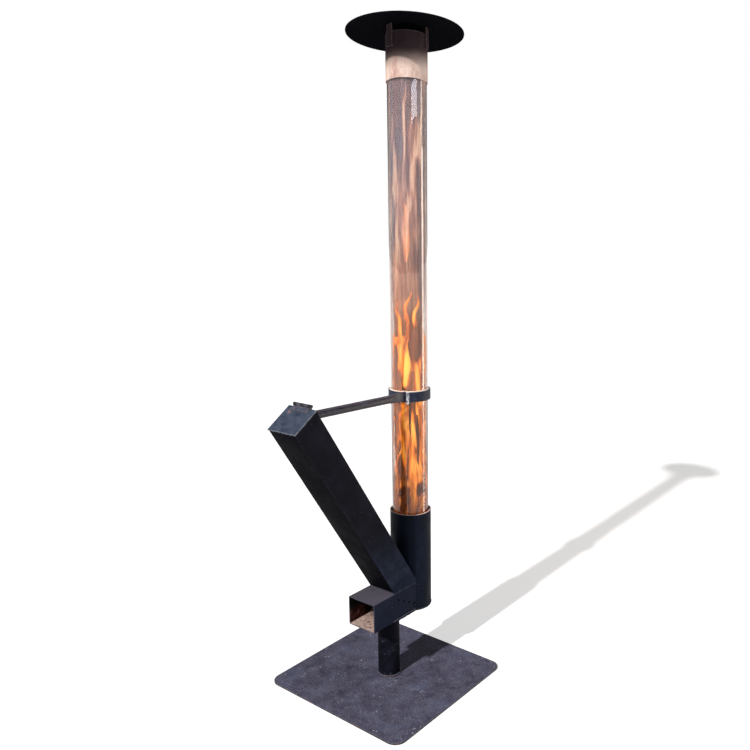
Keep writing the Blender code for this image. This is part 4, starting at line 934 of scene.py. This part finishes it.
def make_flames():
    """A column of smoke, a lobed sheet of fire round its lower half, and separate tongues over both."""
    core_low, core_high = glass_low.z + 0.003, stop_low.z - 0.004

    def smoke_width(share):
        """Narrow behind the fire, and out to the glass above it."""
        height = core_low + (core_high - core_low) * share
        return 0.9 + 0.1 * min(1.0, max(0.0, (height - FLAME_FULL_Z) / 0.12))

    column("smoke_column", "smoke", core_low, core_high, SMOKE_RADIUS, 0.015, smoke_width)

    def fire_width(share):
        return min(1.0, ((share + 0.02) / 0.1) ** 0.5) * min(1.0, sqrt((1.0 - share) / 0.12 + 0.01))

    column("flame_body", "fire", FLAME_FOOT_Z, FLAME_FULL_Z + 0.02, FIRE_RADIUS, 0.16, fire_width)
    placed = list(PLACED_TONGUES)
    for number in range(LOW_TONGUES):
        spread = number / LOW_TONGUES
        placed.append((GOLDEN_ANGLE * number + 40, FLAME_FOOT_Z + 0.05 + 0.42 * spread,
                       0.23 + 0.06 * sin(number * 1.7), 0.016 + 0.003 * sin(number * 2.3)))
    for number, (azimuth, foot_z, height, width) in enumerate(placed):
        made = flame_tongue(radians(azimuth), foot_z, height, width, number)
        to_piece(f"flame_tongue_{number + 1}", made, "tongue", smooth=pi)


def column(name, finish, low, high, radius, lobing, width):
    """An upright body of gas in the tube, with wandering lobes. width gives its share of the radius."""
    rings = []
    for level in range(COLUMN_LEVELS + 1):
        share = level / COLUMN_LEVELS
        z = low + (high - low) * share
        ring = []
        for step in range(COLUMN_SIDES):
            angle = 2 * pi * step / COLUMN_SIDES
            out = Vector((cos(angle), sin(angle), 0.0))
            lobes = 0.5 * sin(5 * angle + 8.0 * z) + 0.3 * sin(9 * angle - 15.0 * z)
            rough = 1.2 * noise.noise(Vector((out.x * 1.6, out.y * 1.6, z * 6.0)))
            reach = min(radius * width(share) * (1.0 + lobing * (lobes + rough)), GLASS_INNER - 0.003)
            ring.append(Vector((0, TUBE_Y, z)) + out * reach)
        rings.append(ring)
    to_piece(name, loft(rings), finish, smooth=pi)


def flame_tongue(azimuth, foot_z, height, width, number):
    """A pointed flame that leans and curls as it rises, lying close inside the glass.

    The azimuth is measured from the side that faces between the mouth and +X.
    """
    start = azimuth - radians(50)
    reach = GLASS_INNER - 0.006
    rings = []
    for level in range(TONGUE_LEVELS + 1):
        share = level / TONGUE_LEVELS
        swell = max(0.03, (share + 0.02) ** 0.45 * (1.0 - share) ** 0.75 * 1.55)
        sway = (0.012 * sin(share * 5.2 + number) + 0.006 * sin(share * 11.0 + 2 * number)) * share / reach
        turn = start + sway
        out = Vector((cos(turn), sin(turn), 0.0))
        side = Vector((-sin(turn), cos(turn), 0.0))
        centre = Vector((0, TUBE_Y, foot_z + height * share)) + out * reach
        ring = []
        for step in range(TONGUE_SIDES):
            around = 2 * pi * step / TONGUE_SIDES
            across = width * swell * cos(around)
            through = TONGUE_THICKNESS * min(1.0, swell) * sin(around)
            sag = out * (-0.5 * across ** 2 / reach)
            ring.append(centre + side * across + sag + out * through)
        rings.append(ring)
    return loft(rings)


# ---- Cap ----

STRUT_HALF_WIDTH = 0.0128
STRUT_SEAM = 0.034  # the length of the weld along each of a strut's edges


def make_cap():
    refined("cap_disc", "cap", edge=0.0008)
    refined("cap_collar", "heat_rusted", edge=0.0004)
    refined("cap_stop_ring", "burnt", edge=0.0004)
    for number in (1, 2, 3):
        node = f"cap_strut_{number}"
        # The struts are black all over: heat-blackening and painted shadow under the disc.
        refined(node, "heat_and_painted_shadow_black", edge=0.0006)
        low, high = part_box(node)
        middle = (low + high) / 2
        outwards = Vector((middle.x, middle.y - TUBE_Y, 0.0)).normalized()
        across = Vector((-outwards.y, outwards.x, 0.0))
        for name, side in (("a", -1), ("b", 1)):
            foot = Vector((0, TUBE_Y, low.z + 0.002)) + outwards * (COLLAR_RADIUS + 0.0006)
            foot += across * side * STRUT_HALF_WIDTH
            weld_bead(f"weld_strut_{number}{name}", [foot, foot + Vector((0, 0, STRUT_SEAM))], 0.0017,
                      "heat_and_painted_shadow_black", body="cap", slot="heat_rusted_steel")


# ---- Studio ----

FLOOR_HALF = 60.0
FLOOR_GLOW = 0.52
FILL = 0.12  # how bright the white surroundings light the heater


def aimed(made, location, target):
    """Put a lamp or camera at a place, looking at a target."""
    made.location = location
    made.rotation_euler = (Vector(target) - Vector(location)).to_track_quat("-Z", "Y").to_euler()
    scene.collection.objects.link(made)
    return made


def towards(azimuth, elevation):
    """The direction at an azimuth from -Y towards +X and an elevation, in degrees."""
    turn, rise = radians(azimuth), radians(elevation)
    return Vector((sin(turn) * cos(rise), -cos(turn) * cos(rise), sin(rise)))


def softbox(name, location, target, width, height, power, colour):
    lamp = bpy.data.lights.new(name, "AREA")
    lamp.shape = "RECTANGLE"
    lamp.size, lamp.size_y = width, height
    lamp.energy = power
    lamp.color = colour
    return aimed(bpy.data.objects.new(name, lamp), location, target)


def make_studio():
    """A pale floor, white surroundings, a high key light from the front, and a tall soft strip."""
    builder = bmesh.new()
    bmesh.ops.create_grid(builder, x_segments=1, y_segments=1, size=FLOOR_HALF)
    mesh = bpy.data.meshes.new("studio_floor")
    builder.to_mesh(mesh)
    builder.free()
    look = Look("studio_floor")
    tone = look.ramp(look.noise(3, 3.0), [(0.3, (0.57, 0.57, 0.58)), (0.7, (0.6, 0.6, 0.61))])
    mesh.materials.append(look.set(Base_Color=tone, Roughness=0.9, Specular_IOR_Level=0.0,
                                   Emission_Color=(1.0, 1.0, 1.0), Emission_Strength=FLOOR_GLOW))
    floor = bpy.data.objects.new("studio_floor", mesh)
    floor.location = (0, 0, base_low.z - 0.0004)
    scene.collection.objects.link(floor)

    middle = Vector((0, 0.05, 1.15))
    sun = bpy.data.lights.new("key", "SUN")
    sun.energy = 5.2
    sun.angle = radians(1.6)
    sun.color = (1.0, 0.97, 0.93)
    sun.cycles.use_multiple_importance_sampling = False
    aimed(bpy.data.objects.new("key", sun), middle + towards(0, 37) * 6.0, middle)
    softbox("strip", middle + towards(137, 0) * 3.2, middle, 0.75, 2.6, 42.0, (1.0, 0.88, 0.76))
    upper = Vector((0, TUBE_Y, 1.95))
    softbox("window", upper + towards(83, 20) * 3.0, upper, 1.7, 0.34, 16.0, (0.86, 0.92, 1.0))

    world = bpy.data.worlds.new("studio")
    scene.world = world
    world.use_nodes = True
    tree = world.node_tree
    background = tree.nodes["Background"]
    path = tree.nodes.new("ShaderNodeLightPath")
    strength = tree.nodes.new("ShaderNodeMix")
    strength.inputs["A"].default_value = FILL
    strength.inputs["B"].default_value = 1.0
    tree.links.new(path.outputs["Is Camera Ray"], strength.inputs["Factor"])
    tree.links.new(strength.outputs["Result"], background.inputs["Strength"])
    background.inputs["Color"].default_value = (1.0, 1.0, 1.0, 1.0)
    scene.view_settings.view_transform = "Standard"
    scene.cycles.transparent_max_bounces = 32
    scene.cycles.transmission_bounces = 16
    scene.cycles.max_bounces = 16


def make_camera():
    """The camera stands to the right of the mouth, at a person's height, and looks slightly down."""
    yaw, pitch, roll = radians(38.76), radians(11.3), radians(-0.38)
    ahead = Vector((-sin(yaw) * cos(pitch), cos(yaw) * cos(pitch), -sin(pitch)))
    level = Vector((cos(yaw), sin(yaw), 0.0))
    up = level.cross(ahead)
    right = level * cos(roll) + up * sin(roll)
    up = up * cos(roll) - level * sin(roll)
    lens = bpy.data.cameras.new("camera")
    lens.sensor_width = 36.0
    lens.lens = 37.73
    lens.shift_x, lens.shift_y = -0.0579, 0.0101
    lens.clip_start, lens.clip_end = 0.05, 60.0
    camera = bpy.data.objects.new("camera", lens)
    camera.matrix_world = Matrix((
        (right.x, up.x, -ahead.x, 1.6722),
        (right.y, up.y, -ahead.y, -1.8969),
        (right.z, up.z, -ahead.z, 1.554),
        (0.0, 0.0, 0.0, 1.0)))
    scene.collection.objects.link(camera)
    scene.camera = camera


make_studio()
make_camera()
make_base()
make_firebox()
make_lid()
make_basket()
make_clamp()
make_glass()
make_flames()
make_cap()

bpy.context.view_layer.update()
